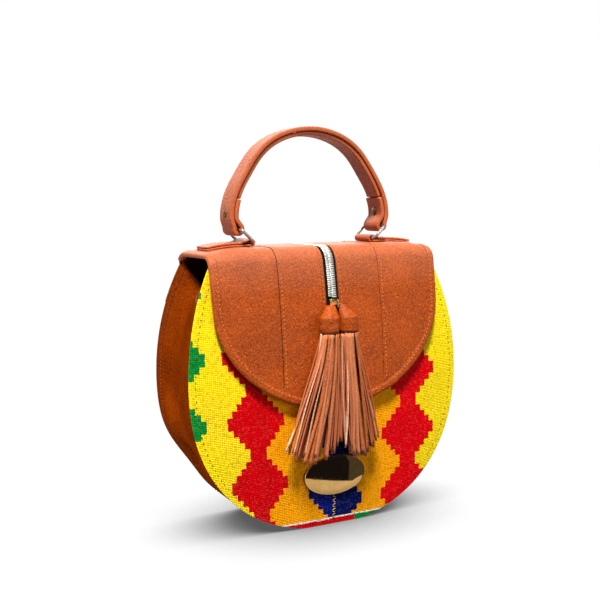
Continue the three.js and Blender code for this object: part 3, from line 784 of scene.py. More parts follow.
@dataclass
class Stitches:
    """A run of stitches along a line on a surface."""

    name: str
    finish: Thread
    slot: Slot
    length: float = 2.4 * MM
    pitch: float = 3.3 * MM
    radius: float = 0.34 * MM
    lift: float = 0.12 * MM
    slant: float = 0.0
    bm: bmesh.types.BMesh = field(default_factory=bmesh.new)

    def run(self, points: list[Vector], normals: list[Vector]) -> None:
        """Sews along a line.

        Args:
            points: Close points along the line, on the surface.
            normals: The surface's outward normals at those points.
        """
        lengths = run_lengths(points)
        count = int((lengths[-1] - self.length) / self.pitch)
        for k in range(count + 1):
            i, t = locate(lengths, k * self.pitch + self.length / 2)
            at = points[i - 1].lerp(points[i], t)
            normal = normals[i - 1].lerp(normals[i], t).normalized()
            along = (points[i] - points[i - 1]).normalized()
            self.stitch(at + normal * self.lift, along, normal, 1 if k % 2 else -1)

    def follow(self, line: list[tuple[Vector, Vector]]) -> None:
        """Sews along points that come with their normals."""
        self.run([point for point, _ in line], [normal for _, normal in line])

    def stitch(self, at: Vector, along: Vector, normal: Vector, turn: int) -> None:
        """Adds one stitch.

        Args:
            at: Its middle.
            along: Its direction.
            normal: The surface's outward normal.
            turn: Side to which a slanted stitch leans.
        """
        if self.slant:
            along = Matrix.Rotation(self.slant * turn, 3, normal) @ along
        side = normal.cross(along).normalized()
        place = placed(at, along * self.length / 2, side * self.radius, normal * self.radius)
        bmesh.ops.create_icosphere(self.bm, subdivisions=1, radius=1.0, matrix=place)

    def build(self) -> bpy.types.Object:
        """The whole run as one object."""
        return Piece(self.name, self.bm, self.finish.material, self.slot, closed=True).build()


@dataclass(frozen=True)
class BodyForm:
    """The outline and the depth of the bag's body."""

    half_width: float = 0.112
    widest_z: float = 0.113
    top_z: float = 0.197
    shoulder: float = 0.150
    squareness: float = 2.22
    settle: float = 0.0014
    half_depth: float = 0.035
    top_lean: float = 0.010
    lean_from: float = 0.110
    lean_over: float = 0.110
    bulge: float = 0.0043
    bulge_z: float = 0.088
    cloth: float = 0.0022
    leather: float = 0.002
    lower_share: float = 0.64
    pinch: float = 0.0065
    pinch_z: float = 0.042
    pinch_span: float = 0.024

    def edge(self, share: float, rear: float = 0.0) -> tuple[float, float]:
        """The edge of the body at a share of its outline.

        Args:
            share: Share from the base (0) to the top edge (1).
            rear: Share from the front edge (0) to the pinched rear edge (1).

        Returns:
            The half width and the height.
        """
        half, z = self.outline(share)
        return half - rear * self.pinch * hump(z, self.pinch_z, self.pinch_span), z

    def outline(self, share: float) -> tuple[float, float]:
        """The body's outline before its rear edge is pinched.

        Args:
            share: Share from the base (0) to the top edge (1).

        Returns:
            The half width and the height.
        """
        lower = self.widest_z + self.settle
        power = 2 / self.squareness
        if share <= self.lower_share:
            flat = math.acos((1 - self.settle / lower) ** (self.squareness / 2))
            angle = lerp(flat, math.pi / 2, share / self.lower_share)
            width = self.half_width * math.sin(angle) ** power
            return width, self.widest_z - lower * max(0.0, math.cos(angle)) ** power
        angle = math.asin((self.top_z - self.widest_z) / self.shoulder)
        angle *= (share - self.lower_share) / (1 - self.lower_share)
        return self.half_width * math.cos(angle), self.widest_z + self.shoulder * math.sin(angle)

    def inward(self, share: float, rear: float, step: float, last: float) -> tuple[float, float]:
        """The direction from the edge into the body.

        Args:
            share: Share of the outline.
            rear: Share from the front edge to the rear edge.
            step: How far to each side the outline is read.
            last: Share past which it is not read.

        Returns:
            The direction across, for the right side, and up.
        """
        ahead, ahead_z = self.edge(min(last, share + step), rear)
        behind, behind_z = self.edge(max(0.0, share - step), rear)
        length = math.hypot(ahead - behind, ahead_z - behind_z)
        return -(ahead_z - behind_z) / length, (ahead - behind) / length

    def depth_at(self, z: float) -> float:
        """Half the depth between the panels' outer faces at their edges."""
        return self.half_depth - self.top_lean * (max(0.0, z - self.lean_from) / self.lean_over) ** 2

    def face(self, a: float, z: float) -> float:
        """Distance from the middle to a panel's outer face, at a share of the half width."""
        swell = max(0.0, 1 - ((z - self.bulge_z) / self.bulge_z) ** 2)
        return self.depth_at(z) + self.bulge * (1 - a * a) * swell


BODY = BodyForm()


class Side(Enum):
    """The two cloth panels and the way that each faces."""

    FRONT = -1
    BACK = 1


@dataclass(frozen=True)
class Dent:
    """One soft dent in a surface, or a rise where its depth is below zero."""

    across: float
    z: float
    depth: float
    span: float
    span_z: float

    def depth_at(self, across: float, z: float) -> float:
        """How deep it is at a place across and up the surface."""
        return self.depth * hump(across, self.across, self.span) * hump(z, self.z, self.span_z)


@dataclass
class ClothPanel:
    """One woven panel with its turned edge and the stitches that hold it."""

    side: Side
    cloth: WovenCloth
    stitch_inset: float = 4.6 * MM
    flat: tuple[float, float] = (0.225, 0.198)
    flat_area: float = 0.0386
    held_edge: float = 0.12
    wave: float = 0.35 * MM
    wave_size: float = 0.03
    front_dents: tuple[Dent, ...] = (
        Dent(0.036, 0.040, -1.0 * MM, 0.004, 0.022),
        Dent(0.029, 0.045, 0.8 * MM, 0.004, 0.020),
        Dent(-0.034, 0.052, -0.6 * MM, 0.005, 0.018),
    )

    @property
    def rear(self) -> float:
        """One for the rear panel, whose edge is pinched, and zero for the front."""
        return 1.0 if self.side is Side.BACK else 0.0

    def surface(self, u: float, v: float) -> Vector:
        """A point on the outer face.

        Args:
            u: Share across.
            v: Share up the outline.

        Returns:
            The point.
        """
        half, z = BODY.edge(v, self.rear)
        a = 2 * u - 1
        at = Vector((a * half, self.side.value * BODY.face(a, z), z))
        wave = self.wave * ripple(at, self.wave_size, 3.0) * smooth(1 - abs(a), 0.0, self.held_edge)
        if self.side is Side.FRONT:
            wave -= sum(dent.depth_at(at.x, z) for dent in self.front_dents)
        at.y += self.side.value * wave
        return at

    def build(self) -> None:
        """Makes the panel and its stitches."""
        name = self.side.name.lower()
        bm = face_away(grid(110, 130, self.surface), Vector((0, -self.side.value * 0.5, 0.1)))
        # The back panel's rim takes the gusset leather, which is painted darker as shade.
        rim = TAN_SHADED.material if self.side is Side.BACK else self.cloth.material
        cloth = Piece(f"{name}_cloth", bm, self.cloth.material, Slot.CLOTH, (f"{name}_panel",), rim,
                      INNER.material, BODY.cloth, round=0.8 * MM).build()
        self.sew_edge(name)

    def sew_edge(self, name: str) -> bpy.types.Object:
        """Sews along the panel's edge, from one top corner round the base to the other.

        Args:
            name: Front or back.

        Returns:
            The stitches.
        """
        run = Stitches(f"{name}_edge_stitches", BLACK_THREAD, Slot.CLOTH, 1.7 * MM, 4.4 * MM, 0.36 * MM,
                       0.05 * MM)
        points = []
        shares = [i / 120 for i in range(121)]
        for sign, order in ((-1, shares[::-1]), (1, shares)):
            for share in order:
                here, z = BODY.edge(share, self.rear)
                in_x, in_z = BODY.inward(share, self.rear, 0.004, 1.0)
                x = sign * (here + self.stitch_inset * in_x)
                up = z + self.stitch_inset * in_z
                a = max(-1.0, min(1.0, x / here))
                points.append(Vector((x, self.side.value * BODY.face(a, up), up)))
        normal = Vector((0, self.side.value, 0))
        run.run(points, [normal] * len(points))
        return run.build()


@dataclass
class Gusset:
    """The leather strip between the panels, with its folds and its sewn rear edge."""

    top_front: float = 0.885
    top_back: float = 1.012
    folds: tuple[Dent, ...] = (
        Dent(0.002, 0.203, 12.0 * MM, 0.019, 0.038),
        Dent(0.000, 0.120, 2.5 * MM, 0.020, 0.060),
        Dent(0.009, 0.052, 7.0 * MM, 0.018, 0.013),
        Dent(0.014, 0.082, -2.5 * MM, 0.014, 0.016),
    )
    flat: float = 0.045
    stiff_z: float = 0.008
    soft_z: float = 0.040
    wrinkle: float = 0.5 * MM
    wrinkle_size: float = 0.016
    groove_v: float = 0.9
    groove: float = 0.4 * MM
    groove_span: float = 0.016
    open_to: float = 0.12
    sewn_to: float = 0.43

    def surface(self, u: float, v: float, lift: float = 0.0) -> Vector:
        """A point on the outer face.

        Args:
            u: Share along the strip, from the left mouth round the base to the right mouth.
            v: Share from the front edge to the back edge.
            lift: How far the point stands off the face.

        Returns:
            The point.
        """
        side = -1 if u < 0.5 else 1
        along = max(0.0, (abs(u - 0.5) - self.flat) / (0.5 - self.flat))
        share = along * lerp(self.top_front, self.top_back, v)
        half, z = BODY.edge(share, v)
        reach = BODY.depth_at(z) - BODY.cloth - GAP
        y = lerp(-reach, reach, v)
        if along == 0.0:
            return Vector((side * half * abs(u - 0.5) / self.flat, y, -lift))
        in_x, in_z = BODY.inward(share, v, 0.002, math.inf)
        free = math.sin(math.pi * v) ** 0.5 if 0 < v < 1 else 0.0
        soft = smooth(z, self.stiff_z, self.soft_z)
        wrinkle = self.wrinkle * ripple(Vector((side * half, y * 0.5, z)), self.wrinkle_size, 8.0)
        folds = sum(fold.depth_at(y, z) for fold in self.folds)
        seam = self.groove * hump(v, self.groove_v, self.groove_span)
        depth = soft * (free * (folds + wrinkle) + seam) - lift
        return Vector((side * (half + in_x * depth), y, z + in_z * depth))

    def build(self) -> None:
        """Makes the strip, the stitches in the groove near its rear edge, and a dark cord as painted seam
        shadow.
        """
        middle = Vector((0, 0, 0.11))
        bm = face_away(grid(300, 84, self.surface), middle)
        Piece("gusset_leather", bm, TAN_SHADED.material, Slot.GUSSET, ("gusset",), PAINTED_EDGE.material,
              INNER.material, BODY.leather, round=0.5 * MM).build()
        sewn = Stitches("gusset_stitches", RUST_THREAD, Slot.GUSSET, 1.6 * MM, 2.7 * MM, 0.3 * MM, 0.25 * MM)
        # The dark cord of overlapping stitches near the mouth is painted shadow of the gap in the seam.
        shadow_cord = Stitches("gusset_seam_shadow_cord", SEAM_SHADOW_THREAD, Slot.GUSSET, 3.6 * MM, 3.2 * MM, 0.42 * MM)
        v = self.groove_v
        for run, start, end in ((sewn, self.open_to, self.sewn_to), (shadow_cord, 0.0, self.open_to)):
            shares = [lerp(start, end, i / 240) for i in range(241)]
            for along in (shares, [1 - s for s in shares]):
                points = [self.surface(u, v) for u in along]
                normals = [(self.surface(u, v, 1 * MM) - p).normalized() for u, p in zip(along, points)]
                run.run(points, normals)
            run.build()


@dataclass(frozen=True)
class FlapForm:
    """The flap's profile from its sewn back edge over the top and down the front."""

    wall: float = 0.0022
    top_z: float = 0.210
    corner: float = 0.014
    back_edge_z: float = 0.170
    front_corner_y: float = -0.0213
    front_turn: float = math.radians(168.7)
    control: tuple[float, float] = (-0.0427, 0.160)
    end: tuple[float, float] = (-0.0443, 0.0925)
    half_top: float = 0.093
    half: float = 0.092
    round_z: float = 0.170
    bow: float = 0.0025
    bow_power: float = 2.5
    seam_x: float = 0.042
    droop: float = 0.004
    droop_from: float = 0.064
    back_steps: int = 40
    corner_steps: int = 60
    front_steps: int = 200

    @cached_property
    def line(self) -> list[Vector]:
        """Close points along the profile, as depth and height."""
        r, centre_z = self.corner, self.top_z - self.corner
        low_y = BODY.face(0, self.back_edge_z) + GAP + self.wall
        high_y = BODY.face(0, centre_z) + GAP + self.wall
        back = math.atan2(low_y - high_y, centre_z - self.back_edge_z)
        back_y = high_y - r * math.cos(back)
        start = Vector((low_y, self.back_edge_z))
        turn = Vector((back_y + r * math.cos(back), centre_z + r * math.sin(back)))
        points = [start.lerp(turn, k / self.back_steps) for k in range(self.back_steps)]
        for centre_y, low, high in ((back_y, back, math.pi / 2),
                                    (self.front_corner_y, math.pi / 2, self.front_turn)):
            angles = [lerp(low, high, k / self.corner_steps) for k in range(self.corner_steps + 1)]
            points += [Vector((centre_y + r * math.cos(a), centre_z + r * math.sin(a))) for a in angles]
        p0, p1, p2 = points[-1], Vector(self.control), Vector(self.end)
        for t in (k / self.front_steps for k in range(1, self.front_steps + 1)):
            points.append(p0.lerp(p1, t).lerp(p1.lerp(p2, t), t))
        return points

    @cached_property
    def lengths(self) -> list[float]:
        """Length of the profile up to each of its points."""
        return run_lengths(self.line)

    @property
    def total(self) -> float:
        """Length of the whole profile."""
        return self.lengths[-1]

    @cached_property
    def back_end(self) -> float:
        """Share of the profile where its straight back ends."""
        return self.lengths[self.back_steps] / self.total

    @cached_property
    def top_start(self) -> float:
        """Share of the profile where its level top begins."""
        return self.lengths[self.back_steps + self.corner_steps] / self.total

    @cached_property
    def front_start(self) -> float:
        """Share of the profile where its front begins."""
        return self.lengths[-self.front_steps - 1] / self.total

    def profile(self, share: float) -> tuple[Vector, Vector]:
        """The flap's profile in its middle.

        Args:
            share: Share of the profile from the back edge.

        Returns:
            The point and the outward normal there, each as depth and height.
        """
        i, t = locate(self.lengths, min(max(share, 0.0), 1.0) * self.total)
        before, after = self.line[max(0, i - 3)], self.line[min(len(self.line) - 1, i + 2)]
        along = (after - before).normalized()
        return self.line[i - 1].lerp(self.line[i], t), Vector((along.y, -along.x))

    def at(self, x: float, share: float, inset: float = 0.0) -> tuple[Vector, Vector]:
        """A point on the flap and its outward normal.

        Args:
            x: Place across the flap.
            share: Share along the profile.
            inset: How far below the outer face the point lies.

        Returns:
            The point and the normal.
        """
        point, normal = self.profile(share)
        bow = self.bow * (abs(x) / self.half) ** self.bow_power * max(0.0, -normal.x)
        level, reach = max(0.0, normal.y), 0.5 * MM
        slope = (self.droop_at(abs(x) + reach) - self.droop_at(abs(x) - reach)) / (2 * reach)
        out = Vector((level * math.copysign(slope, x), normal.x, normal.y)).normalized()
        return Vector((x, point.x + bow, point.y - level * self.droop_at(x))) - out * inset, out

    def droop_at(self, x: float) -> float:
        """How far the top sinks towards its sides at a place across."""
        past = max(0.0, abs(x) - self.droop_from) / (self.half_top - self.droop_from)
        return self.droop * past * past

    def front_share(self, z: float) -> float:
        """Finds where the front of the profile passes a height.

        Args:
            z: The height.

        Returns:
            The share of the profile.
        """
        low, high = self.front_start, 1.0
        for _ in range(40):
            middle = (low + high) / 2
            if self.profile(middle)[0].y > z:
                low = middle
            else:
                high = middle
        return high

    def round_z_at(self, x: float) -> float:
        """Height of the round lower edge at a place across."""
        drop = self.round_z - self.end[1]
        return self.round_z - drop * math.sqrt(max(0.0, 1 - (x / self.half) ** 2))

    def half_at(self, share: float) -> float:
        """The flap's width.

        Args:
            share: Share of the profile.

        Returns:
            Half of the width there.
        """
        z = self.profile(share)[0].y
        if share <= self.back_end:
            rise = (z - BODY.widest_z) / BODY.shoulder
            return BODY.half_width * math.sqrt(1 - rise * rise) - GAP
        if share <= self.front_start or z >= self.round_z:
            return lerp(self.half, self.half_top, max(0.0, (z - self.round_z) / (self.top_z - self.round_z)))
        drop = self.round_z - self.end[1]
        return self.half * math.sqrt(max(0.0, 1 - ((self.round_z - z) / drop) ** 2))


FLAP = FlapForm()


@dataclass(frozen=True)
class ZipForm:
    """Sizes of the zip and of the slot that it lies in."""

    slot_half: float = 5.2 * MM
    slot_end_z: float = 0.160
    slot_round: float = 4.0 * MM
    tape_half: float = 9.0 * MM
    tape_wall: float = 0.8 * MM
    teeth_half: float = 3.4 * MM
    teeth_proud: float = 0.2 * MM
    slider_width: float = 5.85 * MM
    slider_length: float = 7.0 * MM
    slider_proud: float = 1.4 * MM
    bail_half: float = 3.3 * MM
    bail_half_up: float = 2.7 * MM
    bail_corner: float = 1.3 * MM
    bail_wire: float = 0.7 * MM
    bail_sunk: float = 0.35 * MM

    @cached_property
    def start(self) -> float:
        """Share of the flap's profile where the slot begins, at the rear corner."""
        return lerp(FLAP.back_end, FLAP.top_start, 0.25)

    @cached_property
    def end(self) -> float:
        """Share of the flap's profile where the slot ends, on the front."""
        return FLAP.front_share(self.slot_end_z)

    @cached_property
    def slider(self) -> float:
        """Share of the flap's profile at the middle of the slider."""
        return FLAP.front_share(self.slot_end_z + self.slot_round + self.slider_length / 2)

    @cached_property
    def bail(self) -> Vector:
        """Middle of the slider's bail."""
        at, normal = FLAP.at(0.0, self.slider)
        return at + normal * (self.slider_proud + self.bail_half - self.bail_sunk)

    def half_at(self, share: float) -> float:
        """Half of the opening between the flap's inner strips."""
        inside = min(self.end - share, share - self.start) * FLAP.total
        return lerp(GAP / 2, self.slot_half, smooth(inside / self.slot_round, 0.0, 1.0))


ZIP = ZipForm()


@dataclass
class Flap:
    """The flap: four sewn strips, their bound edge and the stitching."""

    lap: float = 4.8 * MM
    binding_wall: float = 0.7 * MM
    binding_gap: float = 0.15 * MM
    proud: float = 1.6 * MM
    seam_lap: float = 0.7 * MM
    seam_step: float = 0.2 * MM
    join_x: float = 0.054
    join_rise: float = 0.45 * MM
    join_steps: int = 6
    stitch_off: float = 2.1 * MM
    seam_ease: float = 6 * MM
    left_sink: float = 0.5 * MM
    right_sink: float = 0.08 * MM
    swell: float = 0.1 * MM
    wave: float = 0.3 * MM
    wave_size: float = 0.022
    binding_press: float = 0.4 * MM
    binding_flat: float = 0.3
    back_row: float = 0.028
    back_row_half: float = 0.088

    def puff(self, at: Vector, normal: Vector, edge: float) -> Vector:
        """Lets the leather swell a little between its seams.

        Args:
            at: Point on the plain form.
            normal: Outward normal there.
            edge: Distance to the nearest seam.

        Returns:
            The moved point.
        """
        sink = self.left_sink if at.x < 0 else self.right_sink
        swell = (sink + self.swell) * smooth(edge, 0.0, 5 * MM) - sink
        wave = self.wave * ripple(at, self.wave_size, 5.0) * smooth(edge, 0.0, 8 * MM)
        return at + normal * (swell + wave)

    def inner_strip(self, side: int) -> bmesh.types.BMesh:
        """The strip between the zip and a long seam.

        Args:
            side: -1 for the left and 1 for the right.

        Returns:
            Its outer face.
        """
        edge = FLAP.seam_x - side * self.seam_lap

        def place(u: float, v: float) -> Vector:
            """Gives a point of the strip.

            Args:
                u: Share across, from the zip to the seam.
                v: Share along, from the back edge to the lower edge.

            Returns:
                The point.
            """
            share = v * FLAP.front_share(FLAP.round_z_at(lerp(GAP / 2, edge, u)))
            inner = ZIP.half_at(share)
            x = lerp(inner, edge, u)
            at, normal = FLAP.at(side * x, share)
            over = self.seam_step * (1 - smooth(edge - x, 0.0, self.seam_ease)) if side < 0 else 0.0
            return self.puff(at, normal, min(x - inner, edge - x)) + normal * over

        return grid(40, 190, place)

    def outer_strip(self, side: int) -> bmesh.types.BMesh:
        """The strip between a long seam and the flap's bound edge.

        Args:
            side: -1 for the left and 1 for the right.

        Returns:
            Its outer face.
        """
        edge = FLAP.seam_x - side * self.seam_lap
        end = FLAP.front_share(FLAP.round_z_at(edge + 0.8 * MM))

        def place(u: float, v: float) -> Vector:
            """Gives a point of the strip.

            Args:
                u: Share across, from the seam to the bound edge.
                v: Share along, from the back edge to the lower edge.

            Returns:
                The point.
            """
            share = v * end
            x = lerp(edge, FLAP.half_at(share), u)
            at, normal = FLAP.at(side * x, share)
            over = self.seam_step * (1 - smooth(x - edge, 0.0, self.seam_ease)) if side > 0 else 0.0
            return self.puff(at, normal, x - edge) + normal * over

        return grid(46, 190, place)

    def edge_line(self, inset: float = 0.0) -> list[tuple[float, float]]:
        """The free edge as pairs of place across and share, from left to right.

        Args:
            inset: How far inside the edge the line runs.

        Returns:
            The pairs.
        """
        begin = FLAP.front_share(FLAP.round_z + 1 * MM)
        shares = [lerp(ZIP.start, begin, k / 90) for k in range(91)]
        left = [(-FLAP.half_at(s) + inset, s) for s in shares]
        drop = FLAP.round_z - FLAP.end[1] - inset
        turn = []
        for k in range(1, 140):
            angle = math.pi * (1 - k / 140)
            x = (FLAP.half - inset) * math.cos(angle)
            turn.append((x, FLAP.front_share(FLAP.round_z - drop * math.sin(angle))))
        right = [(FLAP.half_at(s) - inset, s) for s in reversed(shares)]
        return left + turn + right

    def binding(self) -> bmesh.types.BMesh:
        """The folded strip that wraps the flap's free edge.

        Returns:
            The strip's outer face.
        """
        line = [FLAP.at(x, share) for x, share in self.edge_line()]
        outs = []
        for i, (at, normal) in enumerate(line):
            along = line[min(len(line) - 1, i + 1)][0] - line[max(0, i - 1)][0]
            outs.append(along.normalized().cross(normal).normalized())
        top = self.binding_gap + self.binding_wall
        low = -FLAP.wall - self.binding_gap - self.binding_wall
        half = (top - low) / 2
        middle = (top + low) / 2
        flat = self.binding_flat
        join = max(i for i, (at, _) in enumerate(line) if at.z < FLAP.round_z and at.x < self.join_x)

        def place(u: float, v: float) -> Vector:
            """Gives a point of the binding.

            Args:
                u: Share along the flap's edge, from left to right.
                v: Share round the edge, from the outer face to the inner face.

            Returns:
                The point.
            """
            i = min(len(line) - 1, round(u * (len(line) - 1)))
            at, normal = line[i]
            lapped = self.join_rise if join - self.join_steps < i <= join else 0.0
            if v < flat or v > 1 - flat:
                t = min(v, 1 - v) / flat
                across = lerp(-self.lap, self.proud - half, t)
                pressed = half - self.binding_press * (1 - smooth(t, 0.0, 0.45))
                rise = pressed if v < flat else -pressed
            else:
                angle = math.pi * (v - flat) / (1 - 2 * flat)
                across = self.proud - half + half * math.sin(angle)
                rise = half * math.cos(angle)
            wobble = 0.15 * MM * ripple(at, 0.008, 2.0)
            grown = rise * (1 + lapped / half)
            return at + outs[i] * (across + wobble + lapped) + normal * (middle + grown)

        return grid(len(line) - 1, 20, place)

    def build(self) -> None:
        """Makes the strips, the binding and the stitches."""
        middle = Vector((0, 0, 0.15))
        for name, side in HANDS:
            for part, bm in (("inner", self.inner_strip(side)), ("outer", self.outer_strip(side))):
                Piece(f"flap_{name}_{part}_leather", face_away(bm, middle), TAN.material, Slot.LEATHER,
                      (f"flap_{name}_{part}",), PAINTED_EDGE.material, INNER.material,
                      FLAP.wall - 0.3 * MM, round=0.4 * MM).build()
        Piece("flap_bound_edge", self.away_from_edge(self.binding()), TAN.material, Slot.LEATHER,
              ("flap_binding",), PAINTED_EDGE.material, wall=self.binding_wall, round=0.3 * MM,
              round_steps=2).build()
        self.sew()

    @staticmethod
    def away_from_edge(bm: bmesh.types.BMesh) -> bmesh.types.BMesh:
        """Turns the binding's faces outwards, judged on its front middle.

        Args:
            bm: The binding.

        Returns:
            The same bmesh.
        """
        bm.normal_update()
        low = min(bm.faces, key=lambda f: f.calc_center_median().y + f.calc_center_median().z * 0.2)
        if low.normal.y > 0:
            bmesh.ops.reverse_faces(bm, faces=bm.faces)
        return bm

    def sew(self) -> None:
        """Sews beside the binding, along the long seams, beside the zip and along the back edge, and lays a
        dark cord as painted seam shadow.
        """
        run = Stitches("flap_stitches", TAN_THREAD, Slot.LEATHER, 1.9 * MM, 3.0 * MM, 0.3 * MM)
        run.follow([FLAP.at(x, s, -0.75 * MM) for x, s in self.edge_line(self.lap - 1.6 * MM)])
        # The dark cord of overlapping stitches along the left seam's edge is painted shadow of the seam's
        # gap.
        shadow_cord = Stitches("flap_seam_shadow_cord", SEAM_SHADOW_THREAD, Slot.LEATHER, 3.8 * MM, 3.3 * MM, 0.3 * MM)
        left_edge = -FLAP.seam_x - self.seam_lap
        for thread, x, inset in ((run, left_edge + self.stitch_off, 0.1 * MM),
                                 (run, FLAP.seam_x - self.seam_lap + self.stitch_off, -0.1 * MM),
                                 (shadow_cord, left_edge - 0.15 * MM, 0.45 * MM)):
            end = FLAP.front_share(FLAP.round_z_at(x) + self.lap + 1.0 * MM)
            thread.follow([FLAP.at(x, lerp(0.01, end, k / 200), inset) for k in range(201)])
        shadow_cord.build()
        for side in (-1, 1):
            x = side * (ZIP.slot_half + 2.2 * MM)
            run.follow([FLAP.at(x, lerp(ZIP.start, ZIP.end, k / 160)) for k in range(161)])
        half = self.back_row_half
        run.follow([FLAP.at(lerp(-half, half, k / 120), self.back_row) for k in range(121)])
        run.build()


@dataclass
class Zip:
    """The zip: tape, two rows of teeth and the slider with its bail."""

    pitch: float = 1.35 * MM
    tooth: tuple[float, float, float] = (3.9 * MM, 1.0 * MM, 2.0 * MM)

    def tape(self) -> None:
        """Makes the tape under the slot."""
        top = FLAP.wall + GAP

        def place(u: float, v: float) -> Vector:
            """A point of the tape for shares across and along."""
            return FLAP.at(lerp(-ZIP.tape_half, ZIP.tape_half, u), lerp(ZIP.start, ZIP.end, v), top)[0]

        Piece("zip_cloth_tape", face_away(grid(8, 80, place), Vector((0, 0, 0.15))), TAPE.material,
              Slot.TAPE, ("zip_tape",), wall=ZIP.tape_wall, round=0.2 * MM, round_steps=2).build()

    def teeth(self) -> None:
        """Makes the closed chain, tooth by tooth from both sides."""
        bm = bmesh.new()
        wide, long, tall = self.tooth
        depth = tall / 2 - ZIP.teeth_proud + 0.1 * MM
        first = ZIP.start + ZIP.slot_round / FLAP.total
        last = ZIP.slider - (ZIP.slider_length / 2 + GAP) / FLAP.total
        count = int((last - first) * FLAP.total / self.pitch)
        for k in range(count):
            for side, step in ((-1, 0.0), (1, 0.5)):
                share = first + (k + 0.3 + step) * self.pitch / FLAP.total
                at, normal = FLAP.at(side * (ZIP.teeth_half - wide / 2), share, depth)
                place = placed(at, ALONG_X * wide, ALONG_X.cross(normal) * long, normal * tall)
                bmesh.ops.create_cube(bm, size=1.0, matrix=place)
        bmesh.ops.bevel(bm, geom=bm.edges, offset=0.26 * MM, segments=1, profile=0.5, affect="EDGES",
                        material=-1)
        Piece("zip_metal_teeth", bm, ZIP_NICKEL.material, Slot.ZIP, ("zip_teeth",), closed=True).build()

    def slider(self) -> None:
        """Makes the slider's body and the wire bail that the tassel hangs from."""
        at, normal = FLAP.at(0.0, ZIP.slider)
        bm = bmesh.new()
        middle = at + normal * (ZIP.slider_proud - FLAP.wall) / 2
        place = placed(middle, ALONG_X * ZIP.slider_width, ALONG_X.cross(normal) * ZIP.slider_length,
                       normal * (ZIP.slider_proud + FLAP.wall))
        bmesh.ops.create_cube(bm, size=1.0, matrix=place)
        bmesh.ops.bevel(bm, geom=bm.edges, offset=0.9 * MM, segments=3, profile=0.5, affect="EDGES",
                        material=-1)
        ring = Ring(ZIP.bail, ALONG_Y, UP, ZIP.bail_half, ZIP.bail_half_up, ZIP.bail_corner,
                    ZIP.bail_wire).surface()
        mesh = bpy.data.meshes.new("bail")
        ring.to_mesh(mesh)
        ring.free()
        bm.from_mesh(mesh)
        bpy.data.meshes.remove(mesh)
        Piece("zip_metal_slider", bm, SLIDER_BRASS.material, Slot.ZIP, ("zip_slider",), closed=True).build()

    def build(self) -> None:
        """Makes every piece of the zip."""
        self.tape()
        self.teeth()
        self.slider()


@dataclass
class Ring:
    """A closed ring of round wire: a rounded rectangle in the plane of two directions."""

    centre: Vector
    across: Vector
    up: Vector
    half_across: float
    half_up: float
    corner: float
    wire: float
    steps: int = 96
    sides: int = 16

    def outline(self, share: float) -> tuple[Vector, Vector]:
        """The line that the wire follows.

        Args:
            share: Share of the way round.

        Returns:
            The wire's centre and its outward direction.
        """
        flat_a, flat_u = self.half_across - self.corner, self.half_up - self.corner
        quarter = math.pi * self.corner / 2
        parts = [2 * flat_u, quarter, 2 * flat_a, quarter] * 2
        reach = (share % 1.0) * sum(parts)
        k = 0
        while reach > parts[k] and k < 7:
            reach -= parts[k]
            k += 1
        turn = (k // 2) * math.pi / 2
        corner_at = [(flat_a, flat_u), (-flat_a, flat_u), (-flat_a, -flat_u), (flat_a, -flat_u)][k // 2]
        angle = turn if k % 2 == 0 else turn + reach / self.corner
        out = (math.cos(angle), math.sin(angle))
        a, u = corner_at[0] + self.corner * out[0], corner_at[1] + self.corner * out[1]
        if k % 2 == 0:
            back = parts[k] - reach
            a, u = a + math.sin(turn) * back, u - math.cos(turn) * back
        at = self.centre + self.across * a + self.up * u
        return at, self.across * out[0] + self.up * out[1]

    def surface(self) -> bmesh.types.BMesh:
        """The wire's skin.

        Returns:
            The closed skin as a bmesh.
        """
        normal = self.across.cross(self.up)

        def place(u: float, v: float) -> Vector:
            """Gives a point of the skin.

            Args:
                u: Share along the wire.
                v: Share round it.

            Returns:
                The point.
            """
            at, out = self.outline(u)
            angle = 2 * math.pi * v
            return at + (out * math.cos(angle) + normal * math.sin(angle)) * self.wire

        return grid(self.steps, self.sides, place, merge=True)


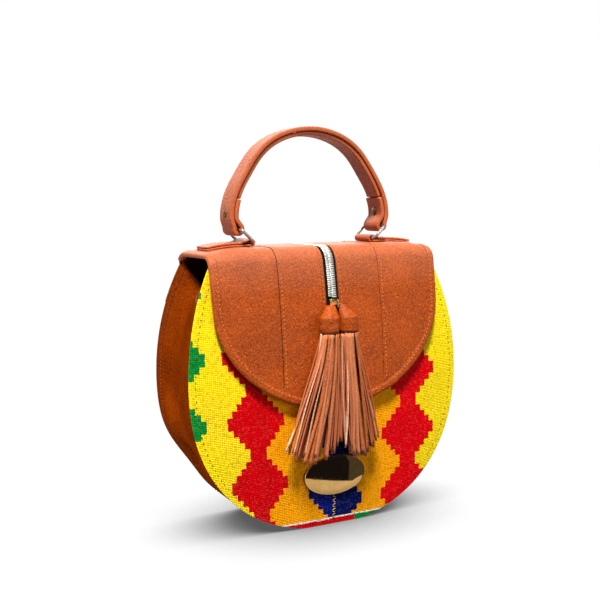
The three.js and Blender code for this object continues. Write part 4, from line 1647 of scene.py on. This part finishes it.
@dataclass
class Tassel:
    """The double tassel: a loop on the bail, two hooded heads and their cut fringes."""

    head_x: float = 7.9 * MM
    half_x: float = 7.4 * MM
    half_y: float = 6.2 * MM
    top_z: float = 0.1635
    head_length: float = 16.5 * MM
    loop_half: float = 5.4 * MM
    loop_width: float = 5.0 * MM
    loop_wall: float = 1.5 * MM
    loop_twist: float = math.radians(65)
    shoulder: float = 11.5 * MM
    draw_power: float = 0.95
    crown_x: float = 4.4 * MM
    crown_half: float = 3.4 * MM
    crown_rise: float = 3.4 * MM
    waist: float = 0.9 * MM
    belly: float = 0.4 * MM
    pleat: float = 0.32 * MM
    tie_wire: float = 0.6 * MM
    tie_inset: float = 0.75 * MM
    end_y: float = -0.0490
    end_deep: float = 2.4 * MM
    end_z: float = 0.0525
    end_rise: float = 11.5 * MM
    strip_width: float = 2.3 * MM
    strip_wall: float = 0.95 * MM
    strip_face: float = math.radians(-27)
    rings: tuple[tuple[int, float], ...] = ((22, 1.0), (10, 0.62), (3, 0.3))
    ends: tuple[tuple[float, float], ...] = ((-0.0225, 0.0215), (0.0165, 0.0150))
    seeds: tuple[int, int] = (11, 23)

    @cached_property
    def head_y(self) -> float:
        """Depth of the heads' axes, just in front of the flap."""
        at, _ = FLAP.at(0.0, FLAP.front_share(self.bottom))
        return at.y - self.half_y - GAP

    @property
    def bottom(self) -> float:
        """Height of the heads' feet."""
        return self.top_z - self.head_length

    def loop(self) -> None:
        """Makes the leather strip that runs through the bail into both heads."""
        foot_z = self.top_z + GAP

        def place(u: float, v: float) -> Vector:
            """Gives a point of the loop.

            Args:
                u: Share along, from the left head to the right head.
                v: Share across.

            Returns:
                The point.
            """
            angle = math.pi * (1 - u)
            z = foot_z + (ZIP.bail.z - foot_z) * math.sin(angle)
            twist = self.loop_twist * (1 - smooth(u, 0.0, 0.45))
            across = lerp(-self.loop_width / 2, self.loop_width / 2, v)
            middle = Vector((self.loop_half * math.cos(angle), ZIP.bail.y, z))
            return middle + Vector((math.sin(twist), math.cos(twist), 0.0)) * across

        bm = face_away(grid(40, 6, place), Vector((0, ZIP.bail.y, self.top_z)))
        Piece("tassel_leather_loop", bm, TASSEL_TAN.material, Slot.TASSEL, ("tassel_loop",),
              HANDLE_EDGE.material, wall=self.loop_wall, inward=False, round=0.3 * MM, round_steps=2).build()

    def head(self, name: str, side: int) -> None:
        """Makes one head, drawn up to the bail like a hood, and the thread round its foot.

        Args:
            name: Left or right.
            side: -1 or 1.
        """
        crown = self.top_z + self.crown_rise
        drawn_from = self.bottom + self.shoulder

        def place(u: float, v: float) -> Vector:
            """Gives a point of the hood.

            Args:
                u: Share round it.
                v: Share up it.

            Returns:
                The point.
            """
            angle = 2 * math.pi * u
            c, s = math.cos(angle), math.sin(angle)
            z = lerp(self.bottom, crown, v)
            draw = max(0.0, (z - drawn_from) / (crown - drawn_from)) ** self.draw_power
            tied = self.waist * hump(v, 0.0, 0.05)
            across = lerp(self.half_x, self.crown_half, draw) - tied + self.belly * hump(v, 0.3, 0.2)
            deep = lerp(self.half_y, self.crown_half * 0.8, draw) - tied
            fold = self.pleat * ripple(Vector((c, s, z / (3 * MM))), 1.4, side * 2.0)
            x = side * lerp(self.head_x, self.crown_x, draw) + (across + fold) * c
            y = lerp(self.head_y, ZIP.bail.y, draw) + (deep + fold) * s
            return Vector((x, y, z))

        hood = grid(64, 36, place, merge=True)
        holes = [e for e in hood.edges if e.is_boundary]
        bmesh.ops.holes_fill(hood, edges=holes, sides=0)
        Piece(f"tassel_{name}_head", hood, TAN.material, Slot.LEATHER, (f"tassel_band_{name}",),
              closed=True).build()
        tie = grid(64, 8, lambda u, v: self.tie_point(side, u, v), merge=True)
        Piece(f"tassel_{name}_tie", tie, MAROON_THREAD.material, Slot.TASSEL, closed=True).build()

    def tie_point(self, side: int, u: float, v: float) -> Vector:
        """A point on the thread that is tied round a head's foot.

        Args:
            side: -1 or 1.
            u: Share round the head.
            v: Share round the thread.

        Returns:
            The point.
        """
        angle, turn = 2 * math.pi * u, 2 * math.pi * v
        grow = self.tie_wire * math.cos(turn) - self.tie_inset
        x = side * self.head_x + (self.half_x + grow) * math.cos(angle)
        y = self.head_y + (self.half_y + grow) * math.sin(angle)
        return Vector((x, y, self.bottom + 0.1 * MM + self.tie_wire * math.sin(turn)))

    def fringe(self, name: str, side: int) -> None:
        """Makes one fringe, strip by strip.

        Args:
            name: Left or right.
            side: -1 or 1.
        """
        number = 0 if side < 0 else 1
        chance = random.Random(self.seeds[number])
        bm = bmesh.new()
        for count, radius in self.rings:
            for k in range(count):
                angle = 2 * math.pi * (k + chance.uniform(-0.25, 0.25)) / count
                self.strip(bm, side, angle, radius, self.ends[number], chance)
        Piece(f"tassel_{name}_fringe", bm, TASSEL_TAN.material, Slot.TASSEL, (f"tassel_fringe_{name}",),
              PALE_EDGE.material, wall=self.strip_wall, inward=False).build()

    def strip(self, bm: bmesh.types.BMesh, side: int, angle: float, radius: float,
              end: tuple[float, float], chance: random.Random) -> None:
        """Adds one cut strip to a fringe.

        Args:
            bm: The fringe.
            side: -1 or 1.
            angle: Place round the head.
            radius: Share of the head's radius where it starts.
            end: Middle and half spread of the fringe's foot.
            chance: Seeded random numbers.
        """
        c, s = math.cos(angle), math.sin(angle)
        inner = 0.86 * radius
        start = Vector((side * self.head_x + self.half_x * inner * c, self.head_y + self.half_y * inner * s,
                        self.bottom + 0.3 * MM))
        spread = c * (0.55 + 0.45 * radius)
        foot = Vector((end[0] + end[1] * spread + chance.uniform(-2.0, 2.0) * MM,
                       self.end_y + self.end_deep * s * (0.4 + 0.6 * radius),
                       self.end_z + self.end_rise * spread * spread + chance.uniform(-1.0, 5.0) * MM))
        wave, phase = chance.uniform(-1.5, 1.5) * MM, chance.uniform(0.0, 6.0)
        lean = math.atan2(c, -s) if s <= 0 else math.atan2(-c, s)
        edge_on = math.copysign(math.pi / 2, lean) + self.strip_face
        settled = lerp(self.strip_face, edge_on, smooth(abs(c), 0.35, 0.7)) + chance.uniform(-0.4, 0.4)
        tone = bm.verts.layers.float.get(STRIP_TONE) or bm.verts.layers.float.new(STRIP_TONE)
        own_tone = chance.uniform(0.3, 1.0) if abs(c) * radius > 0.7 else chance.uniform(0.0, 0.8)
        ready = set(bm.verts)
        bmesh.ops.create_grid(bm, x_segments=22, y_segments=2, size=0.5)
        for vert in (v for v in bm.verts if v not in ready):
            vert[tone] = own_tone
            t, across = vert.co.x + 0.5, vert.co.y
            out = t ** 1.15
            at = Vector((lerp(start.x, foot.x, out), lerp(start.y, foot.y, t), lerp(start.z, foot.z, t)))
            at.x += wave * math.sin(math.pi * t) * 1.6 + 0.4 * MM * math.sin(7 * t + phase)
            at.y -= 1.1 * MM * math.sin(math.pi * t) * (0.5 - 0.5 * s)
            turn = lerp(lean * 0.8, settled, smooth(t, 0.0, 0.7))
            width = self.strip_width * lerp(0.8, 1.0, smooth(t, 0.0, 0.25))
            vert.co = at + Vector((math.cos(turn), math.sin(turn), 0.0)) * across * width

    def build(self) -> None:
        """Makes every piece of the tassel."""
        self.loop()
        for name, side in HANDS:
            self.head(name, side)
            self.fringe(name, side)


@dataclass
class Plaque:
    """The polished oval plate on the lower front, and the cloth's join below it."""

    half_width: float = 25.5 * MM
    half_height: float = 15.0 * MM
    wall: float = 1.9 * MM
    z: float = 0.039
    seat: float = 0.65 * MM
    rim_share: float = 0.72
    crown: tuple[tuple[float, float], ...] = (
        (0.035, 0.0), (0.03, 0.14), (0.2, 0.05), (0.3, 0.03), (0.25, 0.0))
    join_x: float = 0.5 * MM

    def build(self) -> None:
        """Makes the plate: a crowned face with a rounded rim, and a plain back."""
        reach = 0.012
        slope = (BODY.face(0, self.z + reach) - BODY.face(0, self.z - reach)) / (2 * reach)
        tilt = Matrix.Rotation(math.atan(slope), 3, "X")
        origin = Vector((0, -BODY.face(0, self.z) - self.seat, self.z))
        bm = bmesh.new()
        bmesh.ops.create_circle(bm, cap_ends=True, cap_tris=False, segments=96, radius=1.0)
        made = bmesh.ops.extrude_face_region(bm, geom=bm.faces[:])
        for vert in (g for g in made["geom"] if isinstance(g, bmesh.types.BMVert)):
            vert.co.z = 1.0
        top = [f for f in bm.faces if all(v.co.z > 0.5 for v in f.verts)]
        for share, rise in self.crown:
            bmesh.ops.inset_region(bm, faces=top, thickness=share, use_even_offset=False)
            for vert in top[0].verts:
                vert.co.z += rise
        rim = [e for e in bm.edges if all(abs(v.co.length_squared - 1 - v.co.z ** 2) < 1e-4 for v in e.verts)
               and abs(e.verts[0].co.z - e.verts[1].co.z) < 1e-6]
        bmesh.ops.bevel(bm, geom=rim, offset=0.012, segments=2, profile=0.5, affect="EDGES", material=-1)
        for vert in bm.verts:
            plain = Vector((vert.co.x * self.half_width, -vert.co.z * self.wall * self.rim_share,
                            vert.co.y * self.half_height))
            vert.co = origin + tilt @ plain
        Piece("oval_plate", bm, GOLD.material, Slot.PLAQUE, ("plaque",), closed=True).build()
        self.sew()

    def sew(self) -> None:
        """Sews the zigzag join of the cloth's two lengths, from the plate to the base."""
        run = Stitches("cloth_join_stitches", OCHRE_THREAD, Slot.CLOTH, 3.4 * MM, 2.0 * MM, 0.36 * MM,
                       0.3 * MM, slant=math.radians(62))
        line = []
        for k in range(60):
            z = lerp(self.z - self.half_height + 1 * MM, 0.002, k / 59)
            line.append(Vector((self.join_x, -BODY.face(0, z), z)))
        run.run(line, [-ALONG_Y] * len(line))
        run.build()


@dataclass
class Handle:
    """The arched handle with its lining and rivets, and the tabs and rings that carry it."""

    width: float = 20.0 * MM
    wall: float = 3.4 * MM
    arch_z: float = 0.2315
    lean: float = 1.8 * MM
    fold_top_z: float = 0.245
    lining_width: float = 17.5 * MM
    lining_wall: float = 3.0 * MM
    rivet_z: float = 0.2345
    wire: float = 1.2 * MM
    ring_half: float = 15.0 * MM
    ring_corner: float = 4.0 * MM
    upper_x: float = 0.061
    upper_z: float = 0.223
    tab_width: float = 21.5 * MM
    tab_wall: float = 1.4 * MM
    tab_inner: float = 0.0512
    tab_outer: float = 0.0864
    tab_join: float = 0.0585
    dip: float = 0.042
    dip_turn: float = 32.0
    dip_span: float = 18.0
    crown_dip: float = 0.012
    grain_rise: float = 0.12 * MM
    lining_waver: float = 0.06
    rivet_shank: float = 1.3 * MM
    rivet_head: tuple[tuple[float, float], ...] = (
        (0.0, 1.0 * MM), (1.4 * MM, 0.92 * MM), (2.5 * MM, 0.6 * MM), (3.1 * MM, 0.0))

    @property
    def turn(self) -> float:
        """Radius of the strap's middle round a ring's wire."""
        return self.wire + GAP + self.wall / 2

    @property
    def strap_x(self) -> float:
        """Radius of the arch at the strap's middle."""
        return self.upper_x + self.turn + self.lean

    @property
    def tongue_x(self) -> float:
        """Radius of the turned-back tongue at its middle."""
        return self.strap_x - self.wall - GAP

    def settled(self, at: Vector) -> Vector:
        """Lets the round arch sink in at its shoulders and a little at its crown.

        Args:
            at: A point of the plain round arch.

        Returns:
            The point of the settled arch.
        """
        rise = at.z - self.arch_z
        if rise <= 0:
            return at
        turn = math.atan2(rise, abs(at.x))
        degrees = math.degrees(turn)
        sink = self.dip * hump(degrees, self.dip_turn, self.dip_span)
        sink += self.crown_dip * math.sin(turn) ** 2
        share = 1 - sink * smooth(degrees, 0.0, 12.0)
        return Vector((at.x * share, at.y, self.arch_z + rise * share))

    def end_curve(self, high_x: float, low_x: float) -> list[tuple[float, float]]:
        """The easy curve of one layer from the arch down to the ring's height.

        Args:
            high_x: Where the layer is at the arch's foot.
            low_x: Where it is at the ring.

        Returns:
            Points from just below the arch's foot to the ring.
        """
        points = [(high_x, self.arch_z), (high_x, self.arch_z - 3 * MM),
                  (low_x, self.upper_z + 3 * MM), (low_x, self.upper_z)]
        line = []
        for k in range(1, 9):
            t = k / 8
            weights = ((1 - t) ** 3, 3 * t * (1 - t) ** 2, 3 * t * t * (1 - t), t ** 3)
            line.append((sum(w * p[0] for w, p in zip(weights, points)),
                         sum(w * p[1] for w, p in zip(weights, points))))
        return line

    def strap_line(self) -> list[Vector]:
        """Draws the strap's middle line.

        Returns:
            Points from the end of one turned-back tongue to the end of the other.
        """
        line = []
        fold = math.asin((self.fold_top_z - self.arch_z) / self.tongue_x)
        for k in range(13):
            angle = lerp(fold, 0.0, k / 12)
            line.append((self.tongue_x * math.cos(angle), self.arch_z + self.tongue_x * math.sin(angle)))
        line += self.end_curve(self.tongue_x, self.upper_x - self.turn)
        for k in range(1, 17):
            angle = math.pi + math.pi * k / 16
            line.append((self.upper_x + self.turn * math.cos(angle),
                         self.upper_z + self.turn * math.sin(angle)))
        line += self.end_curve(self.strap_x, self.upper_x + self.turn)[-2::-1]
        for k in range(41):
            angle = math.pi / 2 * k / 40
            line.append((self.strap_x * math.cos(angle), self.arch_z + self.strap_x * math.sin(angle)))
        right = [self.settled(Vector((x, 0, z))) for x, z in line]
        return right + [Vector((-p.x, 0, p.z)) for p in reversed(right[:-1])]

    def band(self, line: list[Vector], width: float, waver: float = 0.0) -> bmesh.types.BMesh:
        """A band along a line in the upright plane.

        Args:
            line: The band's middle line.
            width: Its width along Y.
            waver: Share of the width by which its edges wander.

        Returns:
            The band's middle surface.
        """
        def place(u: float, v: float) -> Vector:
            """Gives a point of the band.

            Args:
                u: Share along the line.
                v: Share across the band.

            Returns:
                The point.
            """
            i = min(len(line) - 1, round(u * (len(line) - 1)))
            along = (line[min(len(line) - 1, i + 1)] - line[max(0, i - 1)]).normalized()
            out = Vector((along.z, 0, -along.x))
            at = line[i] + ALONG_Y * lerp(-width / 2, width / 2, v) * (1 + waver * ripple(line[i], 0.02))
            return at + out * self.grain_rise * ripple(at, 0.012)

        return grid(len(line) - 1, 16, place)

    def strap(self) -> None:
        """Makes the strap with its tongues and the lining under it."""
        line = self.strap_line()
        Piece("handle_leather_strap", self.band(line, self.width), TAN.material, Slot.LEATHER,
              ("handle_strap",), HANDLE_EDGE.material, wall=self.wall, inward=False, round=0.9 * MM).build()
        radius = self.strap_x - self.wall / 2 - GAP - self.lining_wall / 2
        start = math.asin((self.fold_top_z + 0.6 * MM - self.arch_z) / radius)
        arc = []
        for k in range(73):
            angle = lerp(start, math.pi - start, k / 72)
            at = Vector((radius * math.cos(angle), 0, self.arch_z + radius * math.sin(angle)))
            arc.append(self.settled(at))
        Piece("handle_leather_lining", self.band(arc, self.lining_width, self.lining_waver), TAN.material,
              Slot.LEATHER, ("handle_lining",), HANDLE_EDGE.material, wall=self.lining_wall, inward=False,
              round=0.9 * MM).build()

    def rivets(self) -> None:
        """Makes the rivets through the strap and its tongues."""
        reach = self.wall + GAP / 2 + GAP
        angle = math.asin((self.rivet_z - self.arch_z) / self.strap_x)
        radius = (self.strap_x + self.tongue_x) / 2
        for name, side in HANDS:
            bm = bmesh.new()
            upper = [(r, reach + h) for r, h in self.rivet_head] + [(self.rivet_shank, reach)]
            profile = upper + [(r, -h) for r, h in reversed(upper)]
            verts = [bm.verts.new((r, 0, h)) for r, h in profile]
            edges = [bm.edges.new(pair) for pair in zip(verts, verts[1:])]
            bmesh.ops.spin(bm, geom=verts + edges, cent=(0, 0, 0), axis=(0, 0, 1), angle=2 * math.pi,
                           steps=28, use_merge=True)
            bmesh.ops.remove_doubles(bm, verts=bm.verts, dist=1e-6)
            at = Vector((side * radius * math.cos(angle), 0, self.arch_z + radius * math.sin(angle)))
            place = Matrix.Translation(self.settled(at))
            place @= Matrix.Rotation(side * (math.pi / 2 - angle), 4, "Y")
            bmesh.ops.transform(bm, matrix=place, verts=bm.verts)
            Piece(f"rivet_{name}_brass", bm, OLD_BRASS.material, Slot.RIVET, (f"rivet_{name}",),
                  closed=True).build()

    def tab_line(self) -> list[Vector]:
        """Draws the middle line of the right tab.

        Returns:
            Points along its under layer, its loop round the ring and its upper layer.
        """
        loop = self.wire + GAP + self.tab_wall / 2
        low = FLAP.top_z + GAP + self.tab_wall / 2
        high = low + self.tab_wall + GAP
        line = []
        for k in range(25):
            x = lerp(self.tab_outer, self.tab_inner, k / 24)
            line.append((x, low - FLAP.droop_at(x)))
        for k in range(1, 19):
            angle = -math.pi / 2 - math.pi * k / 18
            line.append((self.tab_inner + loop * math.cos(angle), low + loop + loop * math.sin(angle)))
        for k in range(1, 33):
            x = lerp(self.tab_inner, self.tab_outer, k / 32)
            fall = smooth(x, self.tab_inner, self.tab_join + 3 * MM)
            line.append((x, lerp(low + 2 * loop, high, fall) - FLAP.droop_at(x)))
        return [Vector((x, 0, z)) for x, z in line]

    def tabs(self) -> None:
        """Makes the folded tabs and the stitches along their edges."""
        for name, side in HANDS:
            line = [Vector((side * p.x, 0, p.z)) for p in self.tab_line()]
            Piece(f"tab_{name}_leather", self.band(line, self.tab_width), TAN.material, Slot.LEATHER,
                  (f"tab_{name}",), HANDLE_EDGE.material, wall=self.tab_wall, inward=False,
                  round=0.5 * MM).build()
            run = Stitches(f"tab_{name}_stitches", TAN_THREAD, Slot.LEATHER, radius=0.24 * MM, lift=0.0)
            top = line[-24:]
            for y in (-self.tab_width / 2 + 2 * MM, self.tab_width / 2 - 2 * MM):
                run.run([p + Vector((0, y, self.tab_wall / 2)) for p in top], [UP] * len(top))
            run.build()

    def rings(self) -> None:
        """Makes the wire rings between tabs and strap."""
        low_z = FLAP.top_z + GAP + self.tab_wall + self.wire + GAP
        for name, side in HANDS:
            lower = Vector((side * self.tab_inner, 0, low_z))
            upper = Vector((side * self.upper_x, 0, self.upper_z))
            rise = upper - lower
            ring = Ring((lower + upper) / 2, ALONG_Y, rise.normalized(), self.ring_half, rise.length / 2,
                        self.ring_corner, self.wire)
            Piece(f"ring_{name}_wire", ring.surface(), NICKEL.material, Slot.RING, (f"ring_{name}",),
                  closed=True).build()

    def build(self) -> None:
        """Makes every piece of the handle."""
        self.tabs()
        self.rings()
        self.strap()
        self.rivets()


@dataclass
class Studio:
    """The pale floor, the soft lights and the camera."""

    camera_at: tuple[float, float, float] = (-0.34644, -0.66069, 0.24352)
    azimuth: float = math.radians(-27.201)
    elevation: float = math.radians(5.863)
    roll: float = math.radians(-0.877)
    lens: float = 58.38
    shade_reach: float = 0.12
    shade: tuple[float, float, float, float] = (0.25, 0.8, 0.1, 1.02)
    sky: tuple[float, float] = (0.06, 0.17)
    card_at: tuple[float, float, float] = (0.0301, -0.0934, 0.0)
    card_along: tuple[float, float, float] = (0.865, 0.502, 0.0)
    card_span: tuple[float, float] = (0.0094, 0.090)

    @staticmethod
    def glowing(name: str, glow: Colour) -> Graph:
        """Makes a surface that mirrors nothing and shines by itself.

        Args:
            name: Name of the material.
            glow: Colour of its shine.

        Returns:
            The material's graph.
        """
        graph = Graph(name)
        graph.set(Base_Color=BLACK, Roughness=0.9, Specular_IOR_Level=0.0)
        graph.set(Emission_Color=glow, Emission_Strength=1.0)
        return graph

    @staticmethod
    def set_piece(name: str, bm: bmesh.types.BMesh, graph: Graph) -> bpy.types.Object:
        """Adds one object of the setting.

        Args:
            name: Name of the object.
            bm: Its mesh.
            graph: Graph of its material.

        Returns:
            The object, which no diffuse light comes back from.
        """
        mesh = bpy.data.meshes.new(name)
        bm.to_mesh(mesh)
        bm.free()
        mesh.materials.append(graph.material)
        obj = bpy.data.objects.new(name, mesh)
        bpy.context.scene.collection.objects.link(obj)
        obj.visible_diffuse = False
        return obj

    def floor(self) -> None:
        """Makes the plain pale floor, which shines by itself, with a painted contact shadow near the bag."""
        bm = bmesh.new()
        bmesh.ops.create_grid(bm, x_segments=1, y_segments=1, size=12.0)
        graph = self.glowing("floor_pale", WHITE)
        painted_contact_shadow = graph.tree.nodes.new("ShaderNodeAmbientOcclusion")
        painted_contact_shadow.samples = 16
        painted_contact_shadow.inputs["Distance"].default_value = self.shade_reach
        # Painted contact shadow: the floor's glow falls where ambient occlusion finds the bag close by.
        graph.set(Emission_Strength=graph.remap(painted_contact_shadow.outputs["AO"], *self.shade))
        self.set_piece("floor", bm, graph)

    def backdrop(self) -> None:
        """Makes the white surround that the camera and reflections see, but not diffuse light or shadows."""
        bm = bmesh.new()
        bmesh.ops.create_uvsphere(bm, u_segments=32, v_segments=16, radius=11.0)
        dome = self.set_piece("backdrop", bm, self.glowing("backdrop_white", WHITE))
        dome.visible_shadow = False
        dome.visible_transmission = False

    def cards(self) -> None:
        """Makes the dark cards that the polished plate mirrors, seen in reflections alone."""
        for name, left, right, glow in (("card_black", -0.065, 0.012, (0.014, 0.013, 0.03, 1.0)),
                                        ("card_grey", 0.012, 0.065, (0.1, 0.1, 0.11, 1.0))):
            bm = bmesh.new()
            bmesh.ops.create_grid(bm, x_segments=1, y_segments=1, size=0.5)
            for vert in bm.verts:
                along = Vector(self.card_along) * lerp(left, right, vert.co.x + 0.5)
                vert.co = Vector(self.card_at) + along + UP * lerp(*self.card_span, vert.co.y + 0.5)
            card = self.set_piece(name, bm, self.glowing(name, glow))
            card.visible_camera = False
            card.visible_shadow = False
            card.visible_transmission = False

    def sun(self, towards: tuple[float, float, float], power: float, angle: float) -> None:
        """Adds the main light.

        Args:
            towards: Direction from the bag to the light.
            power: Its strength.
            angle: How wide it looks from the bag, in degrees.
        """
        lamp = bpy.data.lights.new("key", "SUN")
        lamp.energy = power
        lamp.angle = math.radians(angle)
        obj = bpy.data.objects.new("key", lamp)
        obj.rotation_euler = (-Vector(towards)).to_track_quat("-Z", "Y").to_euler()
        bpy.context.scene.collection.objects.link(obj)

    def light(self, name: str, at: tuple[float, float, float], size: float, power: float,
              aim: tuple[float, float, float] = (0.0, 0.0, 0.12)) -> None:
        """Adds one soft square light.

        Args:
            name: Name of the light.
            at: Its place.
            size: Its side.
            power: Its power in watts.
            aim: The point that it faces.
        """
        lamp = bpy.data.lights.new(name, "AREA")
        lamp.energy = power
        lamp.size = size
        obj = bpy.data.objects.new(name, lamp)
        obj.location = at
        obj.rotation_euler = (Vector(aim) - Vector(at)).to_track_quat("-Z", "Y").to_euler()
        bpy.context.scene.collection.objects.link(obj)

    def camera(self) -> None:
        """Sets the camera at the view of the picture."""
        a, e = self.azimuth, self.elevation
        back = Vector((math.sin(a) * math.cos(e), -math.cos(a) * math.cos(e), math.sin(e)))
        right = Vector((math.cos(a), math.sin(a), 0))
        up = back.cross(right)
        x_axis = right * math.cos(self.roll) + up * math.sin(self.roll)
        y_axis = up * math.cos(self.roll) - right * math.sin(self.roll)
        data = bpy.data.cameras.new("camera")
        data.lens = self.lens
        data.sensor_width = 36.0
        obj = bpy.data.objects.new("camera", data)
        turn = Matrix((x_axis, y_axis, back)).transposed().to_4x4()
        obj.matrix_world = Matrix.Translation(self.camera_at) @ turn
        bpy.context.scene.collection.objects.link(obj)
        bpy.context.scene.camera = obj

    def build(self) -> None:
        """Makes the whole setting."""
        scene = bpy.context.scene
        world = bpy.data.worlds.new("studio_white")
        world.use_nodes = True
        nodes, links = world.node_tree.nodes, world.node_tree.links
        parts = nodes.new("ShaderNodeSeparateXYZ")
        links.new(nodes.new("ShaderNodeTexCoord").outputs["Generated"], parts.inputs[0])
        rise = nodes.new("ShaderNodeMapRange")
        for key, value in zip(("From Min", "From Max", "To Min", "To Max"), (-0.2, 0.2, *self.sky)):
            rise.inputs[key].default_value = value
        links.new(parts.outputs["Z"], rise.inputs["Value"])
        links.new(rise.outputs[0], nodes["Background"].inputs["Strength"])
        nodes["Background"].inputs["Color"].default_value = WHITE
        scene.world = world
        scene.view_settings.view_transform = "Standard"
        self.floor()
        self.backdrop()
        self.cards()
        self.sun((-0.2, -0.365, 0.91), 7.0, 11.0)
        self.light("softbox", (0.6, -1.4, 0.35), 1.2, 8.0)
        self.light("bounce", (-0.32, -0.02, 0.012), 0.2, 0.8, (-0.08, 0.0, 0.03))
        self.light("rear", (0.35, 1.1, 0.95), 1.6, 22.0)
        self.camera()


def main() -> None:
    """Builds the setting and then every sub-assembly of the bag."""
    logging.basicConfig(level=logging.INFO, format="%(name)s %(message)s")
    Studio().build()
    ClothPanel(Side.FRONT, FRONT_CLOTH).build()
    ClothPanel(Side.BACK, BACK_CLOTH).build()
    Gusset().build()
    Flap().build()
    Zip().build()
    Tassel().build()
    Plaque().build()
    Handle().build()


if __name__ == "__main__":
    main()
